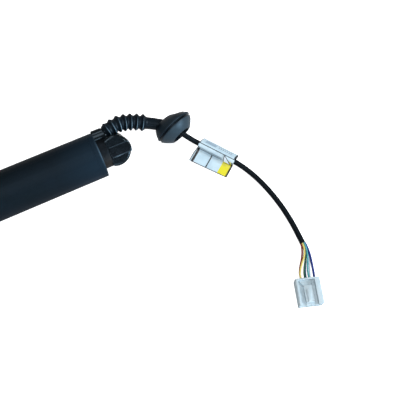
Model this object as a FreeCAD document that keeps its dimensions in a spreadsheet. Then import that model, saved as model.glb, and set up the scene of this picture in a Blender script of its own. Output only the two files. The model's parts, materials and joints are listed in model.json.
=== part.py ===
import FreeCAD, Part
import math
import os
import re
import Sketcher
from FreeCAD import Placement, Rotation, Vector

# Electric tailgate strut, closed, lying as it is delivered. X runs along the strut from the
# ball at the cable end to the ball at the gate end. Millimetres and degrees.

doc = FreeCAD.newDocument("tailgate_strut")
sheet = doc.addObject("Spreadsheet::Sheet", "Sizes")

driving = {
    # ball joints
    "socketRoll": 43.0,
    "ballBore": 13.1,
    "boreWall": 4.1,
    "leadInBore": 15.0,
    "drumDiameter": 26.0,
    "drumBack": 10.5,
    "drumMouth": 8.5,
    "drumEdge": 2.4,
    "drumFlat": 5.6,
    "studDiameter": 10.0,
    "studLength": 13.0,
    "studFit": 0.02,
    "studRoom": 1.0,
    # retaining clips
    "clipWidth": 9.5,
    "clipThickness": 0.9,
    "clipGap": 0.2,
    "clipSunk": 0.5,
    "clipOverlap": 4.0,
    "tongueWidth": 5.0,
    "tongueReach": 1.3,
    # barrel and its end cap
    "ballToTube": 12.4,
    "barrelOuter": 38.0,
    "barrelWall": 1.5,
    "barrelLength": 442.6,
    "edgeBreak": 0.6,
    "seamOffset": 4.7,
    "seamWidth": 0.5,
    "seamDepth": 0.3,
    "capRecess": 1.0,
    "capPlug": 15.0,
    "noseDiameter": 25.8,
    "noseAcross": 24.4,
    "noseFlat": 5.0,
    "slipFit": 0.05,
    # cable outlet on the end cap
    "outletRoll": 35.0,
    "outletOffset": 11.45,
    "outletTilt": 19.0,
    "outletDiameter": 10.8,
    "outletLength": 12.4,
    "outletRoot": 2.0,
    "shoulderOffset": 13.5,
    "spigotDiameter": 8.4,
    "spigotLength": 5.0,
    "ductDiameter": 6.0,
    # motor
    "boardGap": 3.0,
    "boardThickness": 1.6,
    "boardDiameter": 28.0,
    "boardHole": 5.2,
    "motorLength": 54.0,
    "motorWall": 1.5,
    "motorFront": 2.0,
    "brushRim": 3.6,
    "brushRimWall": 2.5,
    "brushDisc": 3.4,
    "shaftDiameter": 3.2,
    "runFit": 0.05,
    "airGap": 0.65,
    "coreLength": 30.0,
    "coreInset": 12.0,
    "commutatorDiameter": 8.4,
    "commutatorLength": 7.0,
    "commutatorInset": 2.0,
    "windingDrop": 2.3,
    "windingLength": 3.0,
    "magnetThickness": 2.0,
    "magnetLength": 36.0,
    "magnetInset": 9.0,
    "magnetAngle": 150.0,
    "sensorDiameter": 12.0,
    "sensorLength": 2.2,
    "damperThickness": 2.4,
    "damperLength": 46.0,
    "damperInset": 4.0,
    # two planetary stages in one ring
    "toothModule": 0.6,
    "sunTeeth": 12,
    "planetTeeth": 15,
    "planetCount": 3,
    "gearWidth": 8.0,
    "gearGap": 0.5,
    "backlash": 0.16,
    "pinDiameter": 2.8,
    "carrierThickness": 2.6,
    "carrierBite": 1.0,
    "carrierDiameter": 22.8,
    "carrierHub": 12.0,
    "carrierHubLength": 5.0,
    # spindle and its bearing
    "bearingOuter": 22.0,
    "bearingInner": 12.0,
    "bearingWidth": 7.0,
    "bearingInset": 2.0,
    "bearingSeal": 0.15,
    "housingShoulder": 3.0,
    "housingBore": 14.0,
    "guideSeat": 6.0,
    "spindleDiameter": 8.0,
    "spindleDrive": 6.0,
    "spindleShort": 46.8,
    "collarDiameter": 12.0,
    "collarLength": 2.0,
    "endGuideLength": 6.0,
    # nut, push tube, guide tube and spring
    "guideOuter": 20.0,
    "guideWall": 1.0,
    "guideShort": 45.3,
    "nutStart": 165.0,
    "nutLength": 22.0,
    "nutShoulder": 10.0,
    "pushOuter": 13.0,
    "pushWall": 1.5,
    "pushSeat": 8.0,
    "springMean": 25.2,
    "springWire": 2.8,
    "springTurns": 14,
    # sliding cover tube and the barrel's mouth
    "coverOuter": 32.0,
    "coverWall": 1.2,
    "coverStart": 190.0,
    "coverShow": 32.6,
    "coverRing": 12.0,
    "gatePlug": 16.6,
    "bushLength": 17.0,
    "wiperLength": 4.5,
    "wiperLip": 1.2,
    # rubber boot
    "bellowsCrest": 14.4,
    "bellowsFirst": 13.0,
    "bellowsValley": 10.8,
    "bellowsPitch": 5.2,
    "bellowsCount": 7,
    "bellowsLead": 3.0,
    "bootBore": 6.4,
    "neckDiameter": 10.0,
    "flangeDiameter": 35.0,
    "flangeBack": 22.4,
    "flangeDepth": 8.6,
    "flangeLip": 2.2,
    "flangeLean": 3.0,
    "rimDrop": 2.1,
    "rimWidth": 0.9,
    "grooveWidth": 1.4,
    "grooveDepth": 2.4,
    "cupLength": 8.2,
    "cupFront": 19.6,
    "cupWall": 1.4,
    "cupFloor": 1.5,
    "cupTaper": 1.0,
    # cable, its tails and the paper flag
    "cableDiameter": 4.6,
    "cableInset": 5.0,
    "outletRun": 8.5,
    "routeSpan": 100.0,
    "tailDiameter": 1.3,
    "supplyDiameter": 1.8,
    "tailCircle": 2.9,
    "tailLead": 7.0,
    "flagLength": 34.0,
    "flagThickness": 0.3,
    "flagReach": 17.0,
    "flagFold": 8.6,
    "flagStart": 92.0,
    "flagRoom": 0.7,
    # connector
    "plugLength": 21.0,
    "plugWidth": 19.0,
    "plugHeight": 9.2,
    "plugAngle": 70.4,
    "deckHeight": 6.0,
    "rearWall": 1.4,
    "railLeft": 2.6,
    "railRight": 2.9,
    "cavitySize": 2.0,
    "cavityPitch": 3.3,
    "columnShift": 1.4,
    "rowStagger": 1.3,
    "cavityRow": 2.0,
    "rowPitch": 2.5,
    "terminalSize": 1.7,
    "terminalLength": 12.0,
    "latchWidth": 6.4,
    "latchStart": 5.8,
    "latchInset": 3.0,
    "latchThickness": 1.0,
    "latchLift": 1.1,
    "latchGap": 0.35,
    "latchRidge": 2.4,
    "latchRidgeHeight": 0.8,
    "latchRoot": 1.4,
    "latchRootInset": 2.4,
    "thumbLength": 3.0,
    "funnelInset": 0.4,
    "funnelLength": 4.4,
    "funnelWall": 1.0,
    "funnelHeight": 2.4,
    "cornerRadius": 0.6,
}
for row, (alias, amount) in enumerate(driving.items(), start=1):
    sheet.set("A%d" % row, alias)
    sheet.set("B%d" % row, str(amount))
    sheet.setAlias("B%d" % row, alias)
derived = {
    "centreDistance": "=2 * ballToTube + barrelLength + coverShow",
    "motorDiameter": "=barrelOuter - 2 * barrelWall - 4 * slipFit - 2 * damperThickness",
}
for row, (alias, formula) in enumerate(derived.items(), start=len(driving) + 1):
    sheet.set("A%d" % row, alias)
    sheet.set("B%d" % row, formula)
    sheet.setAlias("B%d" % row, alias)
doc.recompute()

nodes = []


def size(alias):
    return float(sheet.get(alias))


def bound(text):
    return re.sub(r"\b[A-Za-z]\w*\b(?!\()", r"Sizes.\g<0>", text)


def worth(text):
    return float(sheet.evalExpression(bound(text)))


def node(thing, label):
    thing.Label = label
    nodes.append(thing)
    return thing


def solidNode(shape, label):
    thing = doc.addObject("Part::Feature", label)
    thing.Shape = shape
    return node(thing, label)


# Sketches: every corner is held by two distances from the origin

def sketchOn(body, role, name):
    plane = [f for f in body.Origin.OriginFeatures if f.Role == role][0]
    sketch = body.newObject("Sketcher::SketchObject", name)
    sketch.AttachmentSupport = [(plane, "")]
    sketch.MapMode = "FlatFace"
    return sketch


def hold(sketch, corner, kind, text):
    amount = worth(text)
    if abs(amount) < 1e-9:
        axis = -1 if kind == "DistanceY" else -2
        sketch.addConstraint(Sketcher.Constraint("PointOnObject", corner, 1, axis))
        return
    if amount > 0:
        index = sketch.addConstraint(Sketcher.Constraint(kind, -1, 1, corner, 1, amount))
        sketch.setExpression("Constraints[%d]" % index, bound(text))
    else:
        index = sketch.addConstraint(Sketcher.Constraint(kind, corner, 1, -1, 1, -amount))
        sketch.setExpression("Constraints[%d]" % index, bound("-(%s)" % text))


def outline(sketch, corners):
    spots = [Vector(worth(x), worth(y), 0) for x, y in corners]
    count = len(spots)
    first = sketch.GeometryCount
    lines = [Part.LineSegment(spots[i], spots[(i + 1) % count]) for i in range(count)]
    sketch.addGeometry(lines, False)
    for i in range(count):
        after = first + (i + 1) % count
        sketch.addConstraint(Sketcher.Constraint("Coincident", first + i, 2, after, 1))
    for i, (x, y) in enumerate(corners):
        hold(sketch, first + i, "DistanceX", x)
        hold(sketch, first + i, "DistanceY", y)


def rectangle(sketch, x0, y0, x1, y1):
    outline(sketch, [(x0, y0), (x1, y0), (x1, y1), (x0, y1)])


def turnedBody(label, corners):
    body = doc.addObject("PartDesign::Body", label)
    sketch = sketchOn(body, "XZ_Plane", label + "_profile")
    outline(sketch, corners)
    turn = body.newObject("PartDesign::Revolution", label + "_turn")
    turn.Profile = sketch
    turn.ReferenceAxis = (sketch, ["H_Axis"])
    turn.Angle = 360.0
    return body


def turned(label, corners):
    return node(turnedBody(label, corners), label)


def ring(label, start, end, inner, outer):
    return turned(label, [(start, inner), (start, outer), (end, outer), (end, inner)])


# Part primitives with bound sizes

def rod(name, start, end, radius):
    thing = doc.addObject("Part::Cylinder", name)
    thing.Placement = Placement(Vector(), Rotation(Vector(0, 1, 0), 90))
    thing.setExpression("Radius", bound(radius))
    thing.setExpression("Height", bound("(%s) - (%s)" % (end, start)))
    thing.setExpression("Placement.Base.x", bound(start))
    return thing


def block(name, low, high):
    thing = doc.addObject("Part::Box", name)
    for side, near, far in zip(("Length", "Width", "Height"), low, high):
        thing.setExpression(side, bound("(%s) - (%s)" % (far, near)))
    for axis, near in zip("xyz", low):
        thing.setExpression("Placement.Base." + axis, bound(near))
    return thing


def fused(name, things):
    thing = doc.addObject("Part::MultiFuse", name)
    thing.Shapes = things
    return thing


def common(name, base, tool):
    thing = doc.addObject("Part::Common", name)
    thing.Base = base
    thing.Tool = tool
    return thing


def cut(name, base, tools):
    thing = doc.addObject("Part::Cut", name)
    thing.Base = base
    thing.Tool = tools[0] if len(tools) == 1 else fused(name + "_tools", tools)
    return thing


# Soft lines: straight runs joined by tangent arcs, each as large as its runs allow

def route(points, name):
    edges, radii = [], []
    start = points[0]
    for before, corner, after in zip(points, points[1:], points[2:]):
        back, ahead = before - corner, after - corner
        half = (math.pi - back.getAngle(ahead)) / 2
        reach = 0.45 * min(back.Length, ahead.Length)
        radii.append(reach / math.tan(half))
        back.normalize()
        ahead.normalize()
        inward = (back + ahead).normalize()
        centre = corner + inward * (radii[-1] / math.cos(half))
        edges.append(Part.LineSegment(start, corner + back * reach).toShape())
        bend = Part.Arc(corner + back * reach, centre - inward * radii[-1], corner + ahead * reach)
        edges.append(bend.toShape())
        start = corner + ahead * reach
    edges.append(Part.LineSegment(start, points[-1]).toShape())
    print("%s bends at radii %s" % (name, ["%.1f" % r for r in radii]))
    return Part.Wire(edges)


def tube(wire, radius, name):
    first = wire.Edges[0]
    circle = Part.makeCircle(radius, first.valueAt(first.FirstParameter),
                             first.tangentAt(first.FirstParameter))
    shape = wire.makePipe(Part.Face(Part.Wire(circle)))
    share = shape.Volume / (math.pi * radius ** 2 * wire.Length)
    print("%s length %.1f, volume over section times length %.4f" % (name, wire.Length, share))
    return shape


def spot(wire, distance):
    for edge in wire.Edges:
        if distance <= edge.Length:
            break
        distance -= edge.Length
    at = edge.getParameterByLength(min(distance, edge.Length))
    return edge.valueAt(at), edge.tangentAt(at)


def hoop(centre, normal, radius):
    # first corner on the upper side, so neighbouring hoops join without a twist
    sides = 24
    turns = [2 * math.pi * i / sides for i in range(sides)]
    place = Placement(centre, Rotation(Vector(0, 0, 1), Vector(), normal, "ZXY"))
    corners = [place.multVec(Vector(math.cos(a), math.sin(a), 0) * radius) for a in turns]
    return Part.makePolygon(corners + corners[:1])


# Stations along the strut

tubeEnd = "ballToTube"
barrelIn = "barrelOuter / 2 - barrelWall"
bedded = barrelIn + " - slipFit"
barrelFar = "ballToTube + barrelLength"
plugFace = "ballToTube + capRecess"
plugInner = plugFace + " + capPlug"
boardStart = plugInner + " + boardGap"
brushStart = boardStart + " + boardThickness"
discStart = brushStart + " + brushRim"
motorStart = discStart + " + brushDisc"
motorEnd = motorStart + " + motorLength"
stageOne = motorEnd + " + 4 * gearGap"
plateOne = stageOne + " + gearWidth + gearGap"
stageTwo = plateOne + " + carrierThickness + 2 * gearGap"
plateTwo = stageTwo + " + gearWidth + gearGap"
hubStart = plateTwo + " + carrierThickness"
hubEnd = hubStart + " + carrierHubLength"
housingStart = hubEnd + " - gearGap"
bearingStart = housingStart + " + bearingInset"
bearingEnd = bearingStart + " + bearingWidth"
guideStart = bearingEnd + " + housingShoulder"
housingEnd = guideStart + " + guideSeat"
shaftHole = "shaftDiameter / 2 + runFit"
coverEnd = "centreDistance - ballToTube"
gateFace = coverEnd + " - capRecess"
gateInner = gateFace + " - gatePlug"
pushEnd = gateInner + " + pushSeat"
spindleEnd = gateInner + " - spindleShort"
guideEnd = gateInner + " - guideShort"

# Barrel: plain drawn tube with broken edges and a fine seam near the cable end
seamStart = tubeEnd + " + seamOffset"
turned("barrel", [
    (tubeEnd, barrelIn),
    (tubeEnd, "barrelOuter / 2 - edgeBreak"),
    (tubeEnd + " + edgeBreak", "barrelOuter / 2"),
    (seamStart, "barrelOuter / 2"),
    (seamStart + " + seamWidth / 2", "barrelOuter / 2 - seamDepth"),
    (seamStart + " + seamWidth", "barrelOuter / 2"),
    (barrelFar + " - edgeBreak", "barrelOuter / 2"),
    (barrelFar, "barrelOuter / 2 - edgeBreak"),
    (barrelFar, barrelIn),
])

# Directions: the rolled sockets' back faces up and to the cable's side, and the outlet's side
# points away from it
roll = math.radians(size("socketRoll"))
rolled = Rotation(Vector(1, 0, 0), -size("socketRoll"))
back = Vector(0, math.sin(roll), math.cos(roll))
outletRoll = math.radians(size("outletRoll"))
side = Vector(0, -math.cos(outletRoll), math.sin(outletRoll))
tilt = math.radians(size("outletTilt"))
outletAim = Vector(-math.cos(tilt), 0, 0) + side * math.sin(tilt)
outletRoot = Vector(worth(plugFace), 0, 0) + side * size("outletOffset")
outletTip = outletRoot + outletAim * size("outletLength")

# Line of the cable: from inside the outlet, along the boot, through the grommet's web and
# over the ground to the end of its sheath
unit = size("routeSpan") / 100  # the points below are hundredths of the span
ductStart = outletRoot - outletAim * (size("capPlug") + size("outletRoot"))
grommetSpot = Vector(-54.6, 2.9, -2.0) * unit
grommetAim = Vector(-0.31, 0.92, -0.24).normalize()
grommetLean = Vector(-0.913, -0.287, 0.294)
leanShift = -size("flangeLean")
bootPoints = [
    outletTip - outletAim * size("cableInset"),
    outletTip + outletAim * size("outletRun"),
    Vector(-20.5, -14.6, 7.0) * unit,
    Vector(-33.0, -9.8, 3.2) * unit,
    Vector(-43.0, -5.2, 0.2) * unit,
    Vector(-50.0, -0.4, -1.2) * unit,
]
cablePoints = bootPoints + [
    Vector(-55.0, 4.3, -2.5) * unit,
    Vector(-58.4, 8.8, -4.5) * unit,
    Vector(-62.2, 13.5, -7.6) * unit,
    Vector(-69.2, 20.3, -12.7) * unit,
    Vector(-76.6, 30.0, -14.0) * unit,
    Vector(-86.5, 43.1, -15.2) * unit,
    Vector(-95.0, 57.2, -16.2) * unit,
    Vector(-101.1, 74.4, -16.7) * unit,
    Vector(-105.0, 95.0, -16.7) * unit,
    Vector(-106.1, 114.0, -16.7) * unit,
    Vector(-105.4, 128.5, -16.6) * unit,
    Vector(-104.7, 137.1, -16.4) * unit,
]
cableLine = route(cablePoints, "cable")
bootStart = size("cableInset")


def aimed(name, start, aim, radius, length):
    thing = doc.addObject("Part::Cylinder", name)
    thing.setExpression("Radius", bound(radius))
    thing.setExpression("Height", bound(length))
    thing.Placement = Placement(start, Rotation(Vector(0, 0, 1), aim))
    return thing


# End cap: plug in the barrel, round nose with the socket's stud hole, and the cable outlet
capBlank = turnedBody("end_cap_blank", [
    ("drumFlat", "studDiameter / 2 + studFit"),
    ("drumFlat", "noseDiameter / 2 - edgeBreak"),
    ("drumFlat + edgeBreak", "noseDiameter / 2"),
    (plugFace, "noseDiameter / 2"),
    (plugFace, bedded),
    (plugInner, bedded),
    (plugInner, "0"),
    ("drumFlat + studLength + studRoom", "0"),
    ("drumFlat + studLength + studRoom", "studDiameter / 2 + studFit"),
])
outletDeep = outletRoot - outletAim * size("outletRoot")
capSpigot = aimed("outlet_spigot", outletDeep, outletAim, "spigotDiameter / 2",
                  "outletRoot + outletLength + spigotLength")
shoulderDeep = Vector(worth(plugFace + " + outletRoot"), 0, 0) + side * size("shoulderOffset")
shoulderBlank = aimed("outlet_shoulder", shoulderDeep, Vector(-1, 0, 0), "outletDiameter / 2",
                      "outletRoot + outletLength + 2 * spigotLength")
pastOutlet = aimed("outlet_end", outletTip, outletAim, "drumDiameter", "drumDiameter")
barrelCore = rod("barrel_core", tubeEnd + " - outletRoot", plugInner, bedded)
barrelRoom = cut("barrel_room", rod("barrel_zone", tubeEnd + " - slipFit", plugInner, "barrelOuter"),
                 [barrelCore])
capShoulder = cut("outlet_shoulder_end", shoulderBlank, [pastOutlet, barrelRoom])
capDuct = aimed("outlet_duct", ductStart, outletAim, "ductDiameter / 2",
                "capPlug + outletLength + spigotLength + 2 * outletRoot")
studEnd = "drumFlat + studLength + studRoom"
capStudHole = rod("end_cap_stud_hole", "drumFlat", studEnd, "studDiameter / 2 + studFit")


def ballWay(name, ball):
    # room in a cap's nose for the neck of the ball stud
    start = ball - back * (size("boreWall") - size("studRoom"))
    return aimed(name, start, -back, "leadInBore / 2 + clipGap / 2", "noseDiameter")


def spannerFlats(name, start, end):
    # a flat on the nose's back and one opposite
    above = block(name + "_above", (start, "-noseDiameter", "noseAcross / 2"),
                  (end, "noseDiameter", "noseDiameter"))
    below = block(name + "_below", (start, "-noseDiameter", "-noseDiameter"),
                  (end, "noseDiameter", "-noseAcross / 2"))
    pair = fused(name, [above, below])
    pair.Placement = Placement(Vector(), rolled)
    return pair


capFlats = spannerFlats("end_cap_flats", "drumFlat - 1", "drumFlat + noseFlat")
capBare = cut("end_cap_bare", capBlank, [capFlats])
capSolid = fused("end_cap_solid", [capBare, capShoulder, capSpigot])
capWay = ballWay("end_cap_ball_way", Vector())
node(cut("end_cap", capSolid, [capDuct, capStudHole, capWay]), "end_cap")


# Ball socket: drum with a flat against the nose, a stud, the ball's bore and the clip's channel.
# In its own frame Z points to the closed back and X to the tube.

def drumSocket(label):
    body = doc.addObject("PartDesign::Body", label + "_drum")
    profile = sketchOn(body, "XY_Plane", label + "_outline")
    profile.addGeometry(Part.Circle(Vector(), Vector(0, 0, 1), worth("drumDiameter / 2")), False)
    profile.addConstraint(Sketcher.Constraint("Coincident", 0, 3, -1, 1))
    index = profile.addConstraint(Sketcher.Constraint("Radius", 0, worth("drumDiameter / 2")))
    profile.setExpression("Constraints[%d]" % index, bound("drumDiameter / 2"))
    pad = body.newObject("PartDesign::Pad", label + "_pad")
    pad.Profile = profile
    pad.setExpression("Length", bound("drumBack + drumMouth"))
    profile.AttachmentOffset = Placement(Vector(0, 0, -size("drumMouth")), Rotation())
    profile.setExpression("AttachmentOffset.Base.z", bound("-drumMouth"))
    doc.recompute()
    topEdges = []
    for number, edge in enumerate(pad.Shape.Edges, start=1):
        if abs(edge.CenterOfMass.z - size("drumBack")) < 1e-6:
            topEdges.append("Edge%d" % number)
    rounding = body.newObject("PartDesign::Fillet", label + "_rounding")
    rounding.Base = (pad, topEdges)
    rounding.setExpression("Radius", bound("drumEdge"))

    beyond = block(label + "_beyond", ("drumFlat", "-drumDiameter", "-2 * drumMouth"),
                   ("drumDiameter", "drumDiameter", "2 * drumBack"))
    stud = rod(label + "_stud", "drumFlat - 1", "drumFlat + studLength", "studDiameter / 2")
    solid = fused(label + "_solid", [cut(label + "_flat", body, [beyond]), stud])

    channelHalf = "clipWidth / 2 + clipGap"
    floor = "drumBack - clipThickness - clipGap + clipSunk"
    over = block(label + "_channel", ("-drumDiameter", "-(%s)" % channelHalf, floor),
                 ("clipOverlap + clipGap", channelHalf, "2 * drumBack"))
    downStrip = block(label + "_end_strip", ("-drumDiameter", "-(%s)" % channelHalf, "-2 * drumMouth"),
                      ("0", channelHalf, "2 * drumBack"))
    downCore = doc.addObject("Part::Cylinder", label + "_end_core")
    downCore.setExpression("Radius", bound("drumDiameter / 2 - clipThickness - clipGap + clipSunk"))
    downCore.setExpression("Height", bound("4 * drumDiameter"))
    downCore.setExpression("Placement.Base.z", bound("-2 * drumDiameter"))
    down = cut(label + "_end", downStrip, [downCore])
    slotTop = "-boreWall"
    slot = block(label + "_slot",
                 ("-drumDiameter", "-tongueWidth / 2 - clipGap",
                  slotTop + " - clipThickness - 2 * clipGap"),
                 ("0", "tongueWidth / 2 + clipGap", slotTop))
    bore = doc.addObject("Part::Cylinder", label + "_bore")
    bore.setExpression("Radius", bound("ballBore / 2"))
    bore.setExpression("Height", bound("2 * drumMouth"))
    bore.setExpression("Placement.Base.z", bound("-2 * drumMouth"))
    crown = doc.addObject("Part::Sphere", label + "_crown")
    crown.setExpression("Radius", bound("ballBore / 2"))
    leadIn = doc.addObject("Part::Cylinder", label + "_lead_in")
    leadIn.setExpression("Radius", bound("leadInBore / 2"))
    leadIn.setExpression("Height", bound("drumMouth"))
    leadIn.setExpression("Placement.Base.z", bound("-boreWall - drumMouth"))
    return solid, [over, down, slot, bore, crown, leadIn]


# Retaining clip: spring-steel strip over the back and down the drum's round end, with a tongue
# that reaches through the drum's wall under the ball

def retainingClip(label):
    top = "drumBack + clipSunk"
    radius = "drumDiameter / 2 + clipSunk"
    tongueTop = "-boreWall - clipGap"
    low = tongueTop + " - clipThickness"
    body = doc.addObject("PartDesign::Body", label + "_cap")
    profile = sketchOn(body, "XZ_Plane", label + "_profile")
    outline(profile, [
        ("0", top),
        (radius + " - clipThickness", top),
        (radius, top + " - clipThickness"),
        (radius, low),
        (radius + " - clipThickness", low),
        (radius + " - clipThickness", top + " - clipThickness"),
        ("0", top + " - clipThickness"),
    ])
    turn = body.newObject("PartDesign::Revolution", label + "_turn")
    turn.Profile = profile
    turn.ReferenceAxis = (profile, ["V_Axis"])
    turn.Angle = 360.0
    width = block(label + "_width", ("-drumDiameter", "-clipWidth / 2", "-drumDiameter"),
                  ("clipOverlap", "clipWidth / 2", "drumDiameter"))
    tongue = block(label + "_tongue", ("-(%s) + clipThickness / 2" % radius, "-tongueWidth / 2", low),
                   ("-ballBore / 2 + tongueReach", "tongueWidth / 2", tongueTop))
    strip = common(label + "_strip", body, width)
    return node(fused(label + "_solid", [strip, tongue]), label)


bodyPlace = Placement(Vector(), rolled)
gatePlace = Placement(Vector(size("centreDistance"), 0, 0),
                      rolled * Rotation(Vector(0, 0, 1), 180))

solid, hollows = drumSocket("body_socket")
bodySocket = cut("ball_socket_cut", solid, hollows)
bodySocket.Placement = bodyPlace
outletRoom = aimed("outlet_room", shoulderDeep, Vector(-1, 0, 0), "outletDiameter / 2 + clipGap",
                   "outletRoot + outletLength + spigotLength")
pastDrum = spot(cableLine, bootStart + worth("drumDiameter / 2 + studRoom"))[0]
bootRoom = aimed("boot_room", outletTip, pastDrum - outletTip, "bellowsCrest / 2 + 2 * clipGap",
                 "drumDiameter")
node(cut("body_ball_socket", bodySocket, [outletRoom, bootRoom]), "body_ball_socket")
retainingClip("body_socket_clip").Placement = bodyPlace

solid, hollows = drumSocket("gate_socket")
gateSocket = node(cut("gate_ball_socket", solid, hollows), "gate_ball_socket")
gateSocket.Placement = gatePlace
retainingClip("gate_socket_clip").Placement = gatePlace

# Motor: sensor board, brush plate, can with two magnets, armature on its shaft
ring("sensor_board", boardStart, brushStart, "boardHole / 2", "boardDiameter / 2")
turned("brush_plate", [
    (brushStart, "motorDiameter / 2 - brushRimWall"),
    (brushStart, "motorDiameter / 2"),
    (motorStart, "motorDiameter / 2"),
    (motorStart, shaftHole),
    (discStart, shaftHole),
    (discStart, "motorDiameter / 2 - brushRimWall"),
])
turned("motor_can", [
    (motorStart, "motorDiameter / 2 - motorWall"),
    (motorStart, "motorDiameter / 2"),
    (motorEnd, "motorDiameter / 2"),
    (motorEnd, shaftHole),
    (motorEnd + " - motorFront", shaftHole),
    (motorEnd + " - motorFront", "motorDiameter / 2 - motorWall"),
])
ring("motor_damper", motorStart + " + damperInset", motorStart + " + damperInset + damperLength",
     "motorDiameter / 2 + slipFit", bedded)
ring("sensor_magnet", brushStart + " + gearGap", brushStart + " + gearGap + sensorLength",
     "shaftDiameter / 2 + studFit", "sensorDiameter / 2")


def magnet(name, turnedBy):
    start = motorStart + " + magnetInset"
    outer = rod(name + "_outer", start, start + " + magnetLength",
                "motorDiameter / 2 - motorWall - slipFit")
    inner = rod(name + "_inner", start + " - 1", start + " + magnetLength + 1",
                "motorDiameter / 2 - motorWall - slipFit - magnetThickness")
    outer.setExpression("Angle", bound("magnetAngle"))
    shell = cut(name, outer, [inner])
    shell.Placement = Placement(Vector(), Rotation(Vector(1, 0, 0), turnedBy))
    return shell


magnets = doc.addObject("Part::Compound", "field_magnets")
magnets.Links = [magnet("magnet_near", 0), magnet("magnet_far", 180)]
node(magnets, "field_magnets")

coreRadius = "motorDiameter / 2 - motorWall - slipFit - magnetThickness - airGap"
windingRadius = coreRadius + " - windingDrop"
coreStart = motorStart + " + coreInset"
coreEnd = coreStart + " + coreLength"
barStart = motorStart + " + commutatorInset"
sunOneEnd = stageOne + " + gearWidth"
turned("armature", [
    (brushStart + " + gearGap", "0"),
    (brushStart + " + gearGap", "shaftDiameter / 2"),
    (barStart, "shaftDiameter / 2"),
    (barStart, "commutatorDiameter / 2"),
    (barStart + " + commutatorLength", "commutatorDiameter / 2"),
    (coreStart + " - windingLength", windingRadius),
    (coreStart, windingRadius),
    (coreStart, coreRadius),
    (coreEnd, coreRadius),
    (coreEnd, windingRadius),
    (coreEnd + " + windingLength", windingRadius),
    (coreEnd + " + windingLength", "shaftDiameter / 2"),
    (sunOneEnd, "shaftDiameter / 2"),
    (sunOneEnd, "0"),
])

# Gears: involute flanks in two straight facets, all in mesh at rest
module = size("toothModule")
sunCount = int(size("sunTeeth"))
planetCount = int(size("planetTeeth"))
ringCount = sunCount + 2 * planetCount
pressure = math.radians(20)
addendum = 0.8
ringAddendum = 0.7
dedendum = 1.25
orbit = module * (sunCount + planetCount) / 2


def involute(angle):
    return math.tan(angle) - angle


def toothed(count, tip, root, thickness, turnedBy):
    pitch = module * count / 2
    base = pitch * math.cos(pressure)
    heights = [(root, max(root, base)), (pitch, pitch), (tip, tip)]
    spread = thickness / (2 * pitch) + involute(pressure)
    flank = [(r, spread - involute(math.acos(min(1, base / at)))) for r, at in heights]
    spots = []
    for tooth in range(count):
        middle = turnedBy + 2 * math.pi * tooth / count
        spots += [(r, middle - half) for r, half in flank]
        spots += [(r, middle + half) for r, half in reversed(flank)]
    points = [Vector(0, r * math.cos(a), r * math.sin(a)) for r, a in spots]
    return Part.makePolygon(points + points[:1])


def flat(wires):
    return Part.makeFace(wires, "Part::FaceMakerBullseye")


def outerGear(count, turnedBy, addendumHere=addendum):
    pitch = module * count / 2
    return toothed(count, pitch + addendumHere * module, pitch - dedendum * module,
                   math.pi * module / 2 - size("backlash") / 2, turnedBy)


def gearSolid(start, width, wire, bore, centre):
    holes = [Part.Wire(Part.makeCircle(bore, Vector(), Vector(1, 0, 0)))] if bore else []
    shape = flat([wire] + holes).extrude(Vector(width, 0, 0))
    shape.translate(Vector(start, 0, 0) + centre)
    return shape


shaft = size("shaftDiameter") / 2
gearWidth = size("gearWidth")
pin = size("pinDiameter") / 2
solidNode(gearSolid(worth(stageOne), gearWidth, outerGear(sunCount, 0),
                    shaft + size("studFit"), Vector()), "sun_gear")

ringPitch = module * ringCount / 2
ringSpace = toothed(ringCount, ringPitch + dedendum * module, ringPitch - ringAddendum * module,
                    math.pi * module / 2 + size("backlash") / 2, 0)
ringOuter = Part.Wire(Part.makeCircle(worth(bedded), Vector(), Vector(1, 0, 0)))
ringLength = worth(housingStart) - worth(motorEnd)
ringShape = flat([ringOuter, ringSpace]).extrude(Vector(ringLength, 0, 0))
ringShape.translate(Vector(worth(motorEnd), 0, 0))
solidNode(ringShape, "ring_gear")

planetAngles = [2 * math.pi * i / int(size("planetCount")) for i in range(int(size("planetCount")))]
planetSpots = [Vector(0, orbit * math.cos(a), orbit * math.sin(a)) for a in planetAngles]
for stage, start in (("first", stageOne), ("second", stageTwo)):
    for number, (angle, place) in enumerate(zip(planetAngles, planetSpots), start=1):
        solidNode(gearSolid(worth(start), gearWidth, outerGear(planetCount, angle),
                            pin + size("runFit"), place), "%s_planet_%d" % (stage, number))


bite = size("carrierBite")


def carrier(plateStart, gearStart):
    plate = Part.makeCylinder(size("carrierDiameter") / 2, size("carrierThickness"),
                              Vector(plateStart, 0, 0), Vector(1, 0, 0))
    pins = [Part.makeCylinder(pin, plateStart - gearStart + bite, Vector(gearStart, 0, 0) + place,
                              Vector(1, 0, 0)) for place in planetSpots]
    return plate, pins


plate, pins = carrier(worth(plateOne), worth(stageOne))
sunTwo = gearSolid(worth(plateOne) + bite, worth(stageTwo) + gearWidth - worth(plateOne) - bite,
                   outerGear(sunCount, 0), 0, Vector())
solidNode(plate.multiFuse(pins + [sunTwo]).removeSplitter(), "first_carrier")

plate, pins = carrier(worth(plateTwo), worth(stageTwo))
hub = Part.makeCylinder(size("carrierHub") / 2, worth(hubEnd) - worth(plateTwo) - bite,
                        Vector(worth(plateTwo) + bite, 0, 0), Vector(1, 0, 0))
driveHole = Part.makeCylinder(size("spindleDrive") / 2 + size("studFit"), worth(hubEnd),
                              Vector(worth(hubStart), 0, 0), Vector(1, 0, 0))
solidNode(plate.multiFuse(pins + [hub]).cut(driveHole).removeSplitter(), "second_carrier")

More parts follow.
